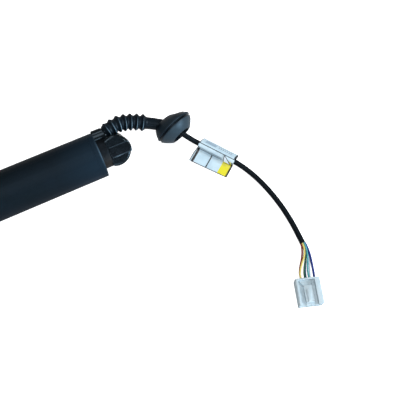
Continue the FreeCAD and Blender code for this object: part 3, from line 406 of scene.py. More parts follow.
coolGleam = (0.62, 0.82, 1.0, 1.0)
satinPaint = mottled("satinPaint", tint(5, 13, 19), tint(7, 16, 24), 60, (0.5, 0.58), 0.03, 1800,
                     specular=0.12, gleam=coolGleam)
shaded(satinPaint, "X", 52, 22, tint(10, 24, 35))  # painted sheen, lighter and bluer near the cap, mm
mouldedNylon = mottled("mouldedNylon", tint(3, 7, 10), tint(7, 12, 16), 260, (0.16, 0.26), 0.03, 2600,
                       specular=0.3, gleam=coolGleam)
greyNylon = mottled("greyNylon", tint(6, 8, 11), tint(11, 14, 18), 220, (0.4, 0.55), 0.06, 2200,
                    specular=0.12, gleam=coolGleam)
shaded(greyNylon, "Y", 7, 12, tint(30, 27, 25))  # painted warm reflection, brown on the side near the ground, mm
blackSpringSteel = mottled("blackSpringSteel", tint(4, 7, 10), tint(9, 13, 18), 350, (0.14, 0.22), 0.01,
                           4000, metallic=0.05, specular=0.4, gleam=coolGleam)
bootRubber = mottled("bootRubber", tint(5, 12, 18), tint(8, 17, 25), 320, (0.36, 0.44), 0.02, 3200,
                     specular=0.18, gleam=coolGleam)
# Painted highlights on the barrel's rim, the clips' edges and the bellows' crests, and painted sheen on the
# grommet.
paintedHighlight(satinPaint, "highlightShare", 0.36, tint(74, 96, 112))
paintedHighlight(blackSpringSteel, "highlightShare", 0.16, tint(58, 72, 82))
paintedHighlight(bootRubber, "highlightShare", 0.14, tint(104, 128, 144))
jacket = mottled("jacket", tint(7, 10, 14), tint(13, 17, 21), 400, (0.36, 0.48), 0.02, 3600, specular=0.12,
                 gleam=coolGleam)
whiteNylon = mottled("whiteNylon", tint(160, 178, 187), tint(178, 194, 202), 300, (0.32, 0.45), 0.02, 2400)
tinnedMetal = mottled("tinnedMetal", tint(170, 170, 168), tint(205, 206, 205), 700, (0.25, 0.4), 0.01,
                      3000, metallic=1.0)
zincSteel = mottled("zincSteel", tint(140, 145, 150), tint(175, 178, 182), 180, (0.3, 0.45), 0.02, 2000,
                    metallic=1.0)
groundSteel = mottled("groundSteel", tint(165, 168, 172), tint(190, 192, 195), 240, (0.2, 0.32), 0.01,
                      3000, metallic=1.0)
ferrite = mottled("ferrite", tint(58, 58, 60), tint(76, 76, 78), 400, (0.6, 0.8), 0.05, 2000)
copper = mottled("copper", tint(150, 84, 48), tint(190, 112, 66), 500, (0.3, 0.45), 0.03, 2500,
                 metallic=0.9)
acetal = mottled("acetal", tint(214, 210, 198), tint(228, 225, 215), 250, (0.35, 0.5), 0.02, 2500)
solderMask = mottled("solderMask", tint(16, 66, 38), tint(24, 86, 50), 500, (0.3, 0.4), 0.01, 3000)

slotFinish = {
    "satin_black_paint": satinPaint,
    "black_moulding": mouldedNylon,
    "spring_steel": blackSpringSteel,
    "rubber_black": bootRubber,
    "cable_jacket": jacket,
    "label_sheet": whiteNylon,
    "white_moulding": whiteNylon,
    "wire_skin": acetal,
    "tinned_contact": tinnedMetal,
    "zinc_steel": zincSteel,
    "ground_steel": groundSteel,
    "magnet_ferrite": ferrite,
    "copper_winding": copper,
    "natural_plastic": acetal,
    "board_green": solderMask,
}
for part in frame["record"]["subparts"]:
    nodes[part["node"]].data.materials.clear()
    nodes[part["node"]].data.materials.append(slotFinish[part["material_slot"]])
print("finishes ready")


def finished(piece, material, body, slot, *replaced):
    piece.data.materials.clear()
    piece.data.materials.append(material)
    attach(piece, body)
    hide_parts(*replaced)
    return piece


setStudio(studio)
setCamera(cameraView)
print("camera and studio set")


# Directions of the sockets: their back faces up and to the cable's side of the ground

strut = {
    "socketRoll": 43.0,  # degrees about X
    "outletRoll": 35.0,
    "gateBall": 500.0,  # mm
}
roll = math.radians(strut["socketRoll"])
outletRoll = math.radians(strut["outletRoll"])
back = Vector((0, math.sin(roll), math.cos(roll)))
outletSide = Vector((0, -math.cos(outletRoll), math.sin(outletRoll)))
bodyPlace = Matrix.Rotation(-roll, 4, "X")
gateBall = Vector((strut["gateBall"], 0, 0))
gatePlace = Matrix.Translation(gateBall * mm) @ bodyPlace @ Matrix.Rotation(math.pi, 4, "Z")

outlet = {
    "face": 13.4,  # mm along X
    "offset": 11.45,
    "tilt": 19.0,  # degrees
    "length": 12.4,
    "rootDepth": 2.0,
    "shoulderOffset": 14.3,
    "shoulderRadius": 6.0,
    "spigotRadius": 4.2,
    "spigotLength": 5.0,
    "ductRadius": 3.0,
    "ductBack": 20.0,
    "ductLength": 60.0,
    "noseCut": 9.0,  # how far past the seat the nose makes room for itself
    "barrelGap": 0.05,
    "edge": 1.5,
}
tilt = math.radians(outlet["tilt"])
outletAim = Vector((-math.cos(tilt), 0, 0)) + outletSide * math.sin(tilt)
outletRoot = Vector((outlet["face"], 0, 0)) + outletSide * outlet["offset"]
outletTip = outletRoot + outletAim * outlet["length"]
shoulderRoot = outletSide * outlet["shoulderOffset"]
shoulderRoot.x = outlet["face"] + outlet["rootDepth"]


# Cable: out of the cap, through the boot and the grommet, over the ground to the connector

cable = {
    "thickness": 4.6,  # mm
    "inset": 5.0,
    "length": 218.7,
    "pastOutlet": 8.5,
    "route": (
        (-20.5, -14.6, 7.0), (-33.0, -9.8, 3.2), (-43.0, -5.2, 0.2), (-50.0, -0.4, -1.2),
        (-55.0, 4.3, -2.5), (-58.4, 8.8, -4.5), (-62.2, 13.5, -7.6), (-69.2, 20.3, -12.7),
        (-76.6, 30.0, -14.0), (-86.5, 43.1, -15.2), (-95.0, 57.2, -16.2), (-101.1, 74.4, -16.7),
        (-105.0, 95.0, -16.7), (-106.1, 114.0, -16.7), (-105.4, 128.5, -16.6), (-104.7, 137.1, -16.4),
    ),
}
cableRoute = [outletTip - outletAim * cable["inset"], outletTip + outletAim * cable["pastOutlet"]]
cableRoute += [Vector(point) for point in cable["route"]]
cableLine = softLine("cableSheath", cableRoute, cable["thickness"])
finished(cableLine, jacket, "strut_body", "cable_jacket", "cable")
print("cable laid")

tails = {
    "circle": 2.9,  # mm
    "lead": 7.0,
    "thickness": 1.45,
    "darkShare": 0.85,
    "wires": (  # column, row, degrees round the sheath (None is its middle), sway, thickness, insulation
        (0, 0, 180, -1.5, 1.45, tint(132, 30, 24)), (1, 0, 240, 0.4, 1.45, tint(14, 40, 84)),
        (2, 0, 300, 1.1, 1.45, tint(198, 208, 220)), (3, 0, 0, 0.4, 1.95, tint(8, 36, 110)),
        (0, 1, 120, 0.2, 1.45, tint(208, 190, 104)), (1, 1, None, 0.2, 1.45, tint(16, 78, 58)),
        (2, 1, 60, -0.1, 1.45, tint(70, 150, 158)),
    ),
}
plug = {
    "rear": (-91.6, 164.2, -19.0),  # mm
    "turn": 70.4,  # degrees
    "length": 21.0,
    "width": 19.0,
    "height": 9.2,
    "deck": 6.0,
    "rearWall": 1.4,
    "railLeft": 2.0,
    "railRight": 4.1,
    "cavity": 2.0,
    "columns": 4,
    "pitch": 3.3,
    "columnShift": 1.4,
    "rowStagger": 1.3,
    "rows": (2.0, 4.5),
    "corner": 0.6,
    "outerEdge": 0.25,
    "innerEdge": 0.12,
    "terminalDepth": 4.5,
    "latchWidth": 6.4,
    "latchStart": 5.8,
    "latchInset": 3.6,
    "latchThickness": 1.0,
    "latchLift": 1.1,
    "latchGap": 0.35,
    "latchEdge": 0.18,
    "rootInset": 2.4,
    "rootRadius": 0.7,
    "rootGap": 0.05,
    "seatSink": 0.5,
    "seatSetback": 0.3,
    "ridge": 2.4,
    "ridgeRise": 0.8,
    "ridgeSink": 0.5,
    "thumb": 3.0,
    "funnelInset": 0.4,
    "funnelLength": 4.4,
    "funnelWall": 1.0,
    "funnelHeight": 2.4,
    "funnelSink": 0.3,
}
plugTurn = Matrix.Rotation(math.radians(plug["turn"]), 4, "Z")
plugPlace = Matrix.Translation(Vector(plug["rear"]) * mm) @ plugTurn


def onPlug(x, y, z):
    return plugPlace @ (Vector((x, y, z)) * mm) / mm


def columnAt(kit, column, row):
    fromMiddle = column - (kit["columns"] - 1) / 2
    return fromMiddle * kit["pitch"] + kit["columnShift"] + (0.5 - row) * kit["rowStagger"]


def layTails(kit):
    end = cableRoute[-1]
    aim = (cableRoute[-1] - cableRoute[-2]).normalized()
    across = Vector((0, 0, 1)).cross(aim).normalized()
    upward = aim.cross(across)
    mate = onPlug(1, 0, 0) - onPlug(0, 0, 0)
    wires = []
    for number, (column, row, angle, sway, thickness, colour) in enumerate(kit["wires"]):
        begin = end.copy()
        if angle is not None:
            turn = math.radians(angle)
            reach = (kit["circle"] + thickness - kit["thickness"]) / 2
            begin += (across * math.cos(turn) + upward * math.sin(turn)) * reach
        mouth = onPlug(0, columnAt(plug, column, row), plug["rows"][row])
        aside = across * sway
        route = [begin, begin + aim * kit["lead"] + aside, mouth - mate * kit["lead"] + aside, mouth,
                 mouth + mate * plug["terminalDepth"]]
        wire = softLine("tail%d" % (number + 1), route, thickness, 12)
        dark = tuple(c * kit["darkShare"] for c in colour[:3]) + (1.0,)
        skin = mottled("tailSkin%d" % (number + 1), dark, colour, 500, (0.3, 0.4))
        finished(wire, skin, "strut_body", "wire_skin", "connector_tails")
        wires.append(wire)
    return wires


wires = layTails(tails)
print("tails laid")


# Barrel and the cover tube that slides out of it

barrel = {
    "start": 12.4,  # mm
    "end": 455.0,
    "outer": 19.0,
    "inner": 17.5,
    "edge": 1.1,
    "seam": 4.7,
    "seamWidth": 0.5,
    "seamDepth": 0.3,
    # a painted highlight on the rim's bevel, on one side:
    "edgeHighlight": 0.5,
    "highlightBand": 1.5,
    "litSide": (0.49, 0.87),  # along Y and Z
}
cover = {"start": 190.0, "end": 487.6, "outer": 16.0, "inner": 14.8, "edge": 0.6}


# Share of the painted highlight: on the rim's bevel, strongest on the side it is turned to.
def rimHighlight(x, y, z, kit):
    if x > kit["start"] + kit["highlightBand"] / 2:
        return 0.0
    facing = (y * kit["litSide"][0] + z * kit["litSide"][1]) / math.hypot(y, z)
    return kit["edgeHighlight"] * max(0, facing) ** 8


def drawnTube(name, kit):
    rings = [(kit["start"], kit["inner"]), (kit["start"], kit["outer"])]
    if "edgeHighlight" in kit:
        rings.append((kit["start"] + kit["highlightBand"], kit["outer"]))
    if "seam" in kit:
        at, groove = kit["start"] + kit["seam"], kit["seamWidth"]
        bottom = kit["outer"] - kit["seamDepth"]
        rings += [(at, kit["outer"]), (at + groove / 2, bottom), (at + groove, kit["outer"])]
    rings += [(kit["end"], kit["outer"]), (kit["end"], kit["inner"]), rings[0]]
    piece = ringShell(name, rings, 144, closed=True)
    softenEdges(piece, kit["edge"], 4, 60)
    # paint the rim's highlight
    if "edgeHighlight" in kit:
        markHighlight(piece, lambda x, y, z: rimHighlight(x, y, z, kit))
    smooth(piece, 25)
    return piece


finished(drawnTube("barrelTube", barrel), satinPaint, "strut_body", "satin_black_paint", "barrel")
finished(drawnTube("coverTube", cover), satinPaint, "rod", "satin_black_paint", "cover_tube")

wiper = {
    "rings": (  # past the barrel's end, radius, mm
        (0, 17.2), (0, 19.0), (2.25, 19.0), (2.95, 18.5), (4.1, 17.3), (4.5, 16.7), (4.5, 16.05),
        (2.25, 16.05), (0, 17.2),
    ),
    "edge": 0.25,
}


def wiperLip(kit):
    rings = [(barrel["end"] + past, radius) for past, radius in kit["rings"]]
    piece = ringShell("wiperLip", rings, 144, closed=True)
    softenEdges(piece, kit["edge"], 2)
    smooth(piece)
    return piece


finished(wiperLip(wiper), bootRubber, "strut_body", "rubber_black", "wiper_seal")
print("tubes turned")


# End cap with the nose that carries the socket and the cable's outlet, and the gate's cap

cap = {
    "plugInner": 28.4,  # mm along X
    "plugRadius": 17.4,
    "noseRadius": 12.9,
    "seat": 5.6,
    "studRadius": 5.02,
    "studDepth": 19.6,
    "fillet": 1.2,
    "filletSteps": 4,
    "ballWay": 7.6,
    "ballWayTop": 3.1,
    "ballWayLength": 26.0,
    "flat": 12.2,
    "flatLength": 5.0,
    "edge": 0.3,
}


def spannerFlats(start, end, kit):
    wide = 2 * kit["noseRadius"]
    low = block("flat", (start, -wide, kit["flat"]), (end, wide, wide))
    high = block("flat", (start, -wide, -wide), (end, wide, -kit["flat"]))
    return standAt(weld([low, high], "flats"), bodyPlace)


def ballWay(ball, kit):
    return peg("ballWay", ball - back * kit["ballWayTop"], -back, kit["ballWay"], kit["ballWayLength"])


def cableDuct(kit):
    start = outletRoot - outletAim * kit["ductBack"]
    return peg("duct", start, outletAim, kit["ductRadius"], kit["ductLength"])


def endCap(kit):
    face, seat, nose = outlet["face"], kit["seat"], kit["noseRadius"]
    fillet, steps = kit["fillet"], kit["filletSteps"]
    rings = [(kit["studDepth"], kit["studRadius"]), (seat, kit["studRadius"]), (seat, nose)]
    for i in range(steps + 1):
        angle = math.pi / 2 * i / steps
        rings.append((face - fillet * (1 - math.sin(angle)), nose + fillet * (1 - math.cos(angle))))
    rings += [(face, kit["plugRadius"]), (kit["plugInner"], kit["plugRadius"])]
    piece = ringShell("endCap", rings, 96)
    carve(piece, spannerFlats(seat - 1, seat + kit["flatLength"], kit))
    carve(piece, cableDuct(outlet))
    carve(piece, ballWay(Vector((0, 0, 0)), kit))
    softenEdges(piece, kit["edge"], 2, 40)
    smooth(piece)
    return piece


def outletNeck(kit):
    far = 3 * barrel["outer"]
    piece = peg("outletNeck", shoulderRoot, (-1, 0, 0), outlet["shoulderRadius"], 2 * outlet["length"], 96)
    carve(piece, peg("pastTip", outletTip, outletAim, far, far))
    softenEdges(piece, outlet["edge"], 6, 50)
    spigotRoot = outletRoot - outletAim * outlet["rootDepth"]
    reach = outlet["rootDepth"] + outlet["length"] + outlet["spigotLength"]
    carve(piece, peg("spigot", spigotRoot, outletAim, outlet["spigotRadius"], reach), "UNION")
    carve(piece, cableDuct(outlet))
    noseStart = (kit["seat"] - outlet["noseCut"], 0, 0)
    carve(piece, peg("nose", noseStart, (1, 0, 0), kit["noseRadius"] + hair, far, 192))
    carve(piece, block("plug", (outlet["face"] - hair, -far, -far), (far, far, far)))
    low, bore = barrel["start"] - outlet["barrelGap"], barrel["inner"]
    around = [(low, bore), (low, far), (far, far), (far, bore), (low, bore)]
    carve(piece, ringShell("barrelRoom", around, 96, closed=True))
    smooth(piece)
    evenFlats(piece)
    return piece


finished(endCap(cap), greyNylon, "strut_body", "black_moulding", "end_cap")
finished(outletNeck(cap), mouldedNylon, "strut_body", "black_moulding", "end_cap")

gateCap = {
    "inner": 470.0,  # mm along X
    "face": 486.6,
    "seat": 494.4,
    "plugRadius": 14.75,
    "noseRadius": 12.9,
    "tubeBore": 6.52,
    "tubeEnd": 478.0,
    "studDepth": 480.4,
    "stopBore": 6.0,
    "edge": 0.4,
}


def gateEndCap(kit):
    piece = ringShell("gateCap", [
        (kit["inner"], kit["tubeBore"]), (kit["inner"], kit["plugRadius"]), (kit["face"], kit["plugRadius"]),
        (kit["face"], kit["noseRadius"]), (kit["seat"], kit["noseRadius"]), (kit["seat"], cap["studRadius"]),
        (kit["studDepth"], cap["studRadius"]), (kit["studDepth"], kit["stopBore"]),
        (kit["tubeEnd"], kit["tubeBore"]), (kit["inner"], kit["tubeBore"]),
    ], 96, closed=True)
    carve(piece, ballWay(gateBall, cap))
    carve(piece, spannerFlats(kit["seat"] - cap["flatLength"], kit["seat"] + 1, cap))
    softenEdges(piece, kit["edge"], 3)
    smooth(piece)
    return piece


finished(gateEndCap(gateCap), greyNylon, "rod", "black_moulding", "gate_cap")
print("caps turned")


# Ball sockets: a drum with the ball's bore, a flat on the nose and the clip's channel

socket = {
    "radius": 13.0,  # mm, in the socket's own frame: Z to its back, X to the tube
    "back": 10.5,
    "mouth": 8.5,
    "rounding": 2.4,
    "flat": 5.6,
    "stud": 13.0,
    "studRadius": 5.0,
    "bore": 6.55,
    "wall": 4.1,
    "leadIn": 7.5,
    "channel": 9.9,
    "channelFloor": 9.9,
    "channelEnd": 4.2,
    "core": 12.4,
    "slotWidth": 5.4,
    "slotLow": -5.4,
    "bootRoom": 7.6,
    "bootRoomLength": 26.0,
    "bootAim": (-12.0, -14.6, 9.5),  # a place on the boot, in the strut's frame
    "outletRoom": 6.2,
    "outletRoomLength": 19.4,
    "edge": 0.4,
}


def ballSocket(name, place, kit, relief=False):
    piece = peg(name, (0, 0, -kit["mouth"]), (0, 0, 1), kit["radius"], kit["back"] + kit["mouth"], 128)
    pickEdges(piece, lambda a, b: min(a.z, b.z) > kit["back"] - hair)
    bpy.ops.mesh.bevel(offset=kit["rounding"] * mm, segments=8, affect="EDGES")
    clearSelection()
    far = 3 * kit["radius"]
    half = kit["channel"] / 2
    carve(piece, block("beyondFlat", (kit["flat"], -far, -far), (far, far, far)))
    stud = peg("stud", (kit["flat"] - 1, 0, 0), (1, 0, 0), kit["studRadius"], kit["stud"] + 1)
    carve(piece, stud, "UNION")
    carve(piece, block("overBack", (-far, -half, kit["channelFloor"]), (kit["channelEnd"], half, far)))
    down = block("downEnd", (-far, -half, -far), (0, half, far))
    carve(down, peg("core", (0, 0, -2 * far), (0, 0, 1), kit["core"], 4 * far, 128))
    carve(piece, down)
    slot = kit["slotWidth"] / 2
    carve(piece, block("tongueSlot", (-far, -slot, kit["slotLow"]), (0, slot, -kit["wall"])))
    carve(piece, ballHollow(kit))
    if relief:
        toBoot = bodyPlace.inverted().to_3x3()
        past = toBoot @ (Vector(kit["bootAim"]) - outletTip)
        carve(piece, peg("bootRoom", toBoot @ outletTip, past, kit["bootRoom"], kit["bootRoomLength"], 96))
        shoulder = toBoot @ shoulderRoot
        carve(piece, peg("outletRoom", shoulder, (-1, 0, 0), kit["outletRoom"], kit["outletRoomLength"], 96))
    softenEdges(piece, kit["edge"], 3, 40)
    smooth(piece)
    evenFlats(piece)
    return standAt(piece, place)


def ballHollow(kit):
    steps = 10
    rings = [(-2 * kit["mouth"], kit["leadIn"]), (-kit["wall"], kit["leadIn"]), (-kit["wall"], kit["bore"]),
             (0, kit["bore"])]
    for i in range(1, steps):
        angle = math.pi / 2 * i / steps
        rings.append((kit["bore"] * math.sin(angle), kit["bore"] * math.cos(angle)))
    hollow = ringShell("ballHollow", rings, 64)
    return standAt(hollow, Matrix.Rotation(-math.pi / 2, 4, "Y"))


finished(ballSocket("bodyBallSocket", bodyPlace, socket, True), mouldedNylon, "strut_body",
         "black_moulding", "body_ball_socket")
finished(ballSocket("gateBallSocket", gatePlace, socket), mouldedNylon, "rod",
         "black_moulding", "gate_ball_socket")
print("sockets cut")


# Retaining clips: a strip over the back and down the round end, its tongue under the ball

clip = {
    "width": 9.5,  # mm
    "thickness": 0.9,
    "top": 11.0,
    "radius": 13.5,
    "front": 4.0,
    "bend": 1.15,
    "tongueTop": -4.3,
    "tongueWidth": 5.0,
    "tongueTip": -5.25,
    "edge": 0.4,
    # a painted highlight along the strip's two edges:
    "highlightBand": 1.1,
    "edgeHighlight": 0.45,
}


def domedCup(name, radius, low, top, bend, segments=128):
    arc = [math.pi / 2 * i / 5 for i in range(6)]
    rings = [(low, radius)]
    rings += [(top - bend * (1 - math.sin(a)), radius - bend * (1 - math.cos(a))) for a in arc]
    return standAt(ringShell(name, rings, segments), Matrix.Rotation(-math.pi / 2, 4, "Y"))


def retainingClip(name, place, kit):
    far = 3 * kit["radius"]
    wall, half = kit["thickness"], kit["width"] / 2
    low = kit["tongueTop"] - wall
    piece = domedCup(name, kit["radius"], low, kit["top"], kit["bend"])
    inside = domedCup("inside", kit["radius"] - wall, low - wall, kit["top"] - wall, kit["bend"] - wall)
    carve(piece, inside)
    carve(piece, block("width", (-far, -half, -far), (kit["front"], half, far)), "INTERSECT")
    tongueHalf = kit["tongueWidth"] / 2
    tongue = block("tongue", (wall / 2 - kit["radius"], -tongueHalf, low),
                   (kit["tongueTip"], tongueHalf, kit["tongueTop"]))
    carve(piece, tongue, "UNION")
    softenEdges(piece, kit["edge"], 4, 40)
    # Cut a band along each edge and mark it for the painted highlight.
    band = half - kit["highlightBand"]
    for side in (-band, band):
        editMode(piece)
        bpy.ops.mesh.select_all(action="SELECT")
        bpy.ops.mesh.bisect(plane_co=(0, side * mm, 0), plane_no=(0, 1, 0))
    bpy.ops.object.mode_set(mode="OBJECT")
    markHighlight(piece, lambda x, y, z: kit["edgeHighlight"] * (abs(y) > band + hair))
    smooth(piece, 40)
    return standAt(piece, place)


finished(retainingClip("bodyClip", bodyPlace, clip), blackSpringSteel, "body_clip", "spring_steel",
         "body_socket_clip")
finished(retainingClip("gateClip", gatePlace, clip), blackSpringSteel, "gate_clip", "spring_steel",
         "gate_socket_clip")
print("clips folded")


# Boot: bellows and neck turned straight and bent along the cable, then the panel grommet

bellows = {
    "crest": 7.2,  # mm, radii
    "firstCrest": 6.5,
    "crestProfile": ((-0.75, 0.5), (-0.4, 0.06), (0, 0), (0.4, 0.06), (0.75, 0.5)),  # along, drop
    # a painted highlight along the crests, on one side:
    "crestHighlight": 0.9,
    "highlightRadius": 5.94,
    "highlightHalf": 0.2,
    "litSide": (-0.87, 0.5),  # aside and up, seen along the cable
    "valley": 5.4,
    "valleyProfile": ((-0.5, 0.12), (0, 0), (0.5, 0.12)),  # along, rise
    "neck": 5.0,
    "neckFoot": (2.6, 0.25),  # past the last crest, rise
    "neckStart": 4.2,
    "neckSteps": 10,
    "bore": 3.2,
    "boreSteps": 23,
    "spigotBore": 4.22,
    "lead": 3.0,
    "pitch": 5.2,
    "folds": 7,
    "end": 56.0,
}
grommet = {
    "place": (-54.6, 2.9, -2.0),  # mm
    "aim": (-0.31, 0.92, -0.24),
    "lean": (-0.913, -0.287, 0.294),
    "edge": 0.3,
    # painted sheen on the cone and, fainter, on the flange:
    "wearAndSheen": ((1.2, 9.0, 0.13), (-6.0, 15.2, 0.06)),  # from along and from radius, share
    "rings": (  # along, radius, lean
        (-10.8, 7.4, -3.6), (-10.2, 9.2, -3.4), (-8.6, 11.2, -3.0), (-5.2, 15.4, -0.85), (-2.6, 17.0, -0.1),
        (-1.9, 17.5), (-1.0, 17.5), (-1.0, 14.9), (0.8, 14.9), (0.8, 16.8), (1.6, 16.5), (3.4, 15.2),
        (6.0, 12.6), (8.2, 9.8), (8.2, 8.5), (5.0, 7.9), (1.5, 7.4), (1.5, 2.6),
    ),
}


# Share of the painted highlight: on each crest's apex, strongest on the side it is turned to.
def crestHighlight(x, y, z, kit):
    radius = math.hypot(y, z)
    fold = (x - cable["inset"] - kit["lead"]) / kit["pitch"]
    if radius < kit["highlightRadius"] or abs(fold - round(fold)) * kit["pitch"] > kit["highlightHalf"]:
        return 0.0
    facing = (y * kit["litSide"][0] + z * kit["litSide"][1]) / radius
    return kit["crestHighlight"] * max(0, facing) ** 3


def bellowsTube(kit):
    rings = [(0, kit["spigotBore"]), (0, kit["neck"])]
    for fold in range(kit["folds"]):
        at = kit["lead"] + kit["pitch"] * fold
        crest = kit["crest"] - max(0, 2 - fold) / 2 * (kit["crest"] - kit["firstCrest"])
        rings += [(at + x, crest - drop) for x, drop in kit["crestProfile"]]
        if fold < kit["folds"] - 1:
            middle = at + kit["pitch"] / 2
            rings += [(middle + x, kit["valley"] + rise) for x, rise in kit["valleyProfile"]]
    last = kit["lead"] + kit["pitch"] * (kit["folds"] - 1)
    past, rise = kit["neckFoot"]
    rings.append((last + past, kit["neck"] + rise))
    start, steps = last + kit["neckStart"], kit["neckSteps"]
    for i in range(steps + 1):
        rings.append((start + (kit["end"] - start) * i / steps, kit["neck"]))
    for i in range(kit["boreSteps"] + 1):
        at = kit["end"] * (1 - i / kit["boreSteps"])
        rings.append((at, kit["bore"] if at > outlet["spigotLength"] else kit["spigotBore"]))
    piece = ringShell("bellowsTube", [(x + cable["inset"], r) for x, r in rings], 56, closed=True)
    # mark the crests' painted highlight
    markHighlight(piece, lambda x, y, z: crestHighlight(x, y, z, kit))
    guide = softLine("bootGuide", cableRoute)
    guide.data.twist_mode = "Z_UP"
    bend = piece.modifiers.new("alongCable", "CURVE")
    bend.object = guide
    bend.deform_axis = "POS_X"
    applyModifier(piece, bend)
    bpy.data.objects.remove(guide)
    smooth(piece, 32)
    return piece


# Share of the painted sheen, by the first band a vertex falls in.
def grommetSheen(x, radius, kit):
    for start, inside, share in kit["wearAndSheen"]:
        if x > start and radius > inside:
            return share
    return 0.0


def panelGrommet(kit):
    piece = ringShell("panelGrommet", kit["rings"], 96)
    softenEdges(piece, kit["edge"], 2, 30)
    # mark the painted sheen
    markHighlight(piece, lambda x, y, z: grommetSheen(x, math.hypot(y, z), kit))
    smooth(piece, 32)
    return standAt(piece, framed(kit["place"], kit["aim"], kit["lean"]))


boot = weld([bellowsTube(bellows), panelGrommet(grommet)], "bellowsBoot")
finished(boot, bootRubber, "strut_body", "rubber_black", "bellows_boot")
print("boot moulded")


# Connector: sunk deck between two rails, square cavities, and a latch arm over the deck

def plugHousing(kit):
    half = kit["width"] / 2
    left, right = -half + kit["railLeft"], half - kit["railRight"]
    rootX = kit["length"] - kit["rootInset"]
    piece = block("plugHousing", (0, -half, 0), (kit["length"], half, kit["height"]))
    pickEdges(piece, lambda a, b: abs(a.z - b.z) > 1)
    bpy.ops.mesh.bevel(offset=kit["corner"] * mm, segments=4, affect="EDGES")
    softenEdges(piece, kit["outerEdge"], 2)
    over = 2 * kit["height"]
    carve(piece, block("deckRoom", (kit["rearWall"], left, kit["deck"]), (kit["length"] + 1, right, over)))
    rootMiddle = kit["deck"] + kit["latchLift"] + kit["latchThickness"] / 2
    seat = rootMiddle - kit["rootRadius"] - kit["rootGap"]
    hole = kit["cavity"] / 2
    for row, height in enumerate(kit["rows"]):
        for column in range(kit["columns"]):
            middle = columnAt(kit, column, row)
            carve(piece, block("cavity", (-1, middle - hole, height - hole),
                               (kit["length"] + 1, middle + hole, height + hole)))
    latchLeft = left + kit["latchInset"]
    seatStart, seatEnd = rootX - 2 * kit["rootRadius"], kit["length"] - kit["seatSetback"]
    carve(piece, block("rootSeat", (seatStart, latchLeft, kit["deck"] - kit["seatSink"]),
                       (seatEnd, latchLeft + kit["latchWidth"], seat)), "UNION")
    for outer, inner in ((left, latchLeft - kit["latchGap"]),
                         (right, latchLeft + kit["latchWidth"] + kit["latchGap"])):
        carve(piece, funnelWing(kit, outer, inner), "UNION")
    softenEdges(piece, kit["innerEdge"], 2, 40)
    smooth(piece, 40)
    return standAt(piece, plugPlace)


def funnelWing(kit, outer, inner):
    low, high = kit["deck"] - kit["funnelSink"], kit["deck"] + kit["funnelHeight"]
    start, end = kit["funnelInset"], kit["funnelInset"] + kit["funnelWall"]
    left, right = sorted((outer, inner))
    wing = block("wing", (start, left, low), (end, right, high))
    pickFaces(wing, lambda middle, normal: abs(middle.y - inner) < hair)
    bpy.ops.transform.translate(value=((kit["funnelLength"] - start) * mm, 0, 0))
    bpy.ops.object.mode_set(mode="OBJECT")
    return wing


def latchArm(kit):
    left = -kit["width"] / 2 + kit["railLeft"] + kit["latchInset"]
    right = left + kit["latchWidth"]
    rootX = kit["length"] - kit["rootInset"]
    low = kit["deck"] + kit["latchLift"]
    top = low + kit["latchThickness"]
    middle = (left + right) / 2
    arm = block("latchArm", (kit["latchStart"], left, low), (rootX, right, top))
    half, bottom = kit["ridge"] / 2, top - kit["ridgeSink"]
    ridge = block("ridge", (kit["latchStart"] + kit["thumb"], middle - half, bottom),
                  (rootX, middle + half, top + kit["ridgeRise"]))
    root = peg("root", (rootX, left, top - kit["latchThickness"] / 2), (0, 1, 0), kit["rootRadius"],
               kit["latchWidth"], 32)
    for part in (arm, ridge, root):
        softenEdges(part, kit["latchEdge"], 2, 50)
    piece = weld([arm, ridge, root], "latchArm")
    smooth(piece, 40)
    return standAt(piece, plugPlace)


finished(plugHousing(plug), whiteNylon, "strut_body", "white_moulding", "connector_housing")
finished(latchArm(plug), whiteNylon, "latch_arm", "white_moulding", "connector_latch")
print("connector moulded")


# Flag: a film with print, folded round the cable and closed on itself, one corner curling up.
# Its marks are plain rules, ticks and two fields, and painted shade, given as along and aside of the cable.

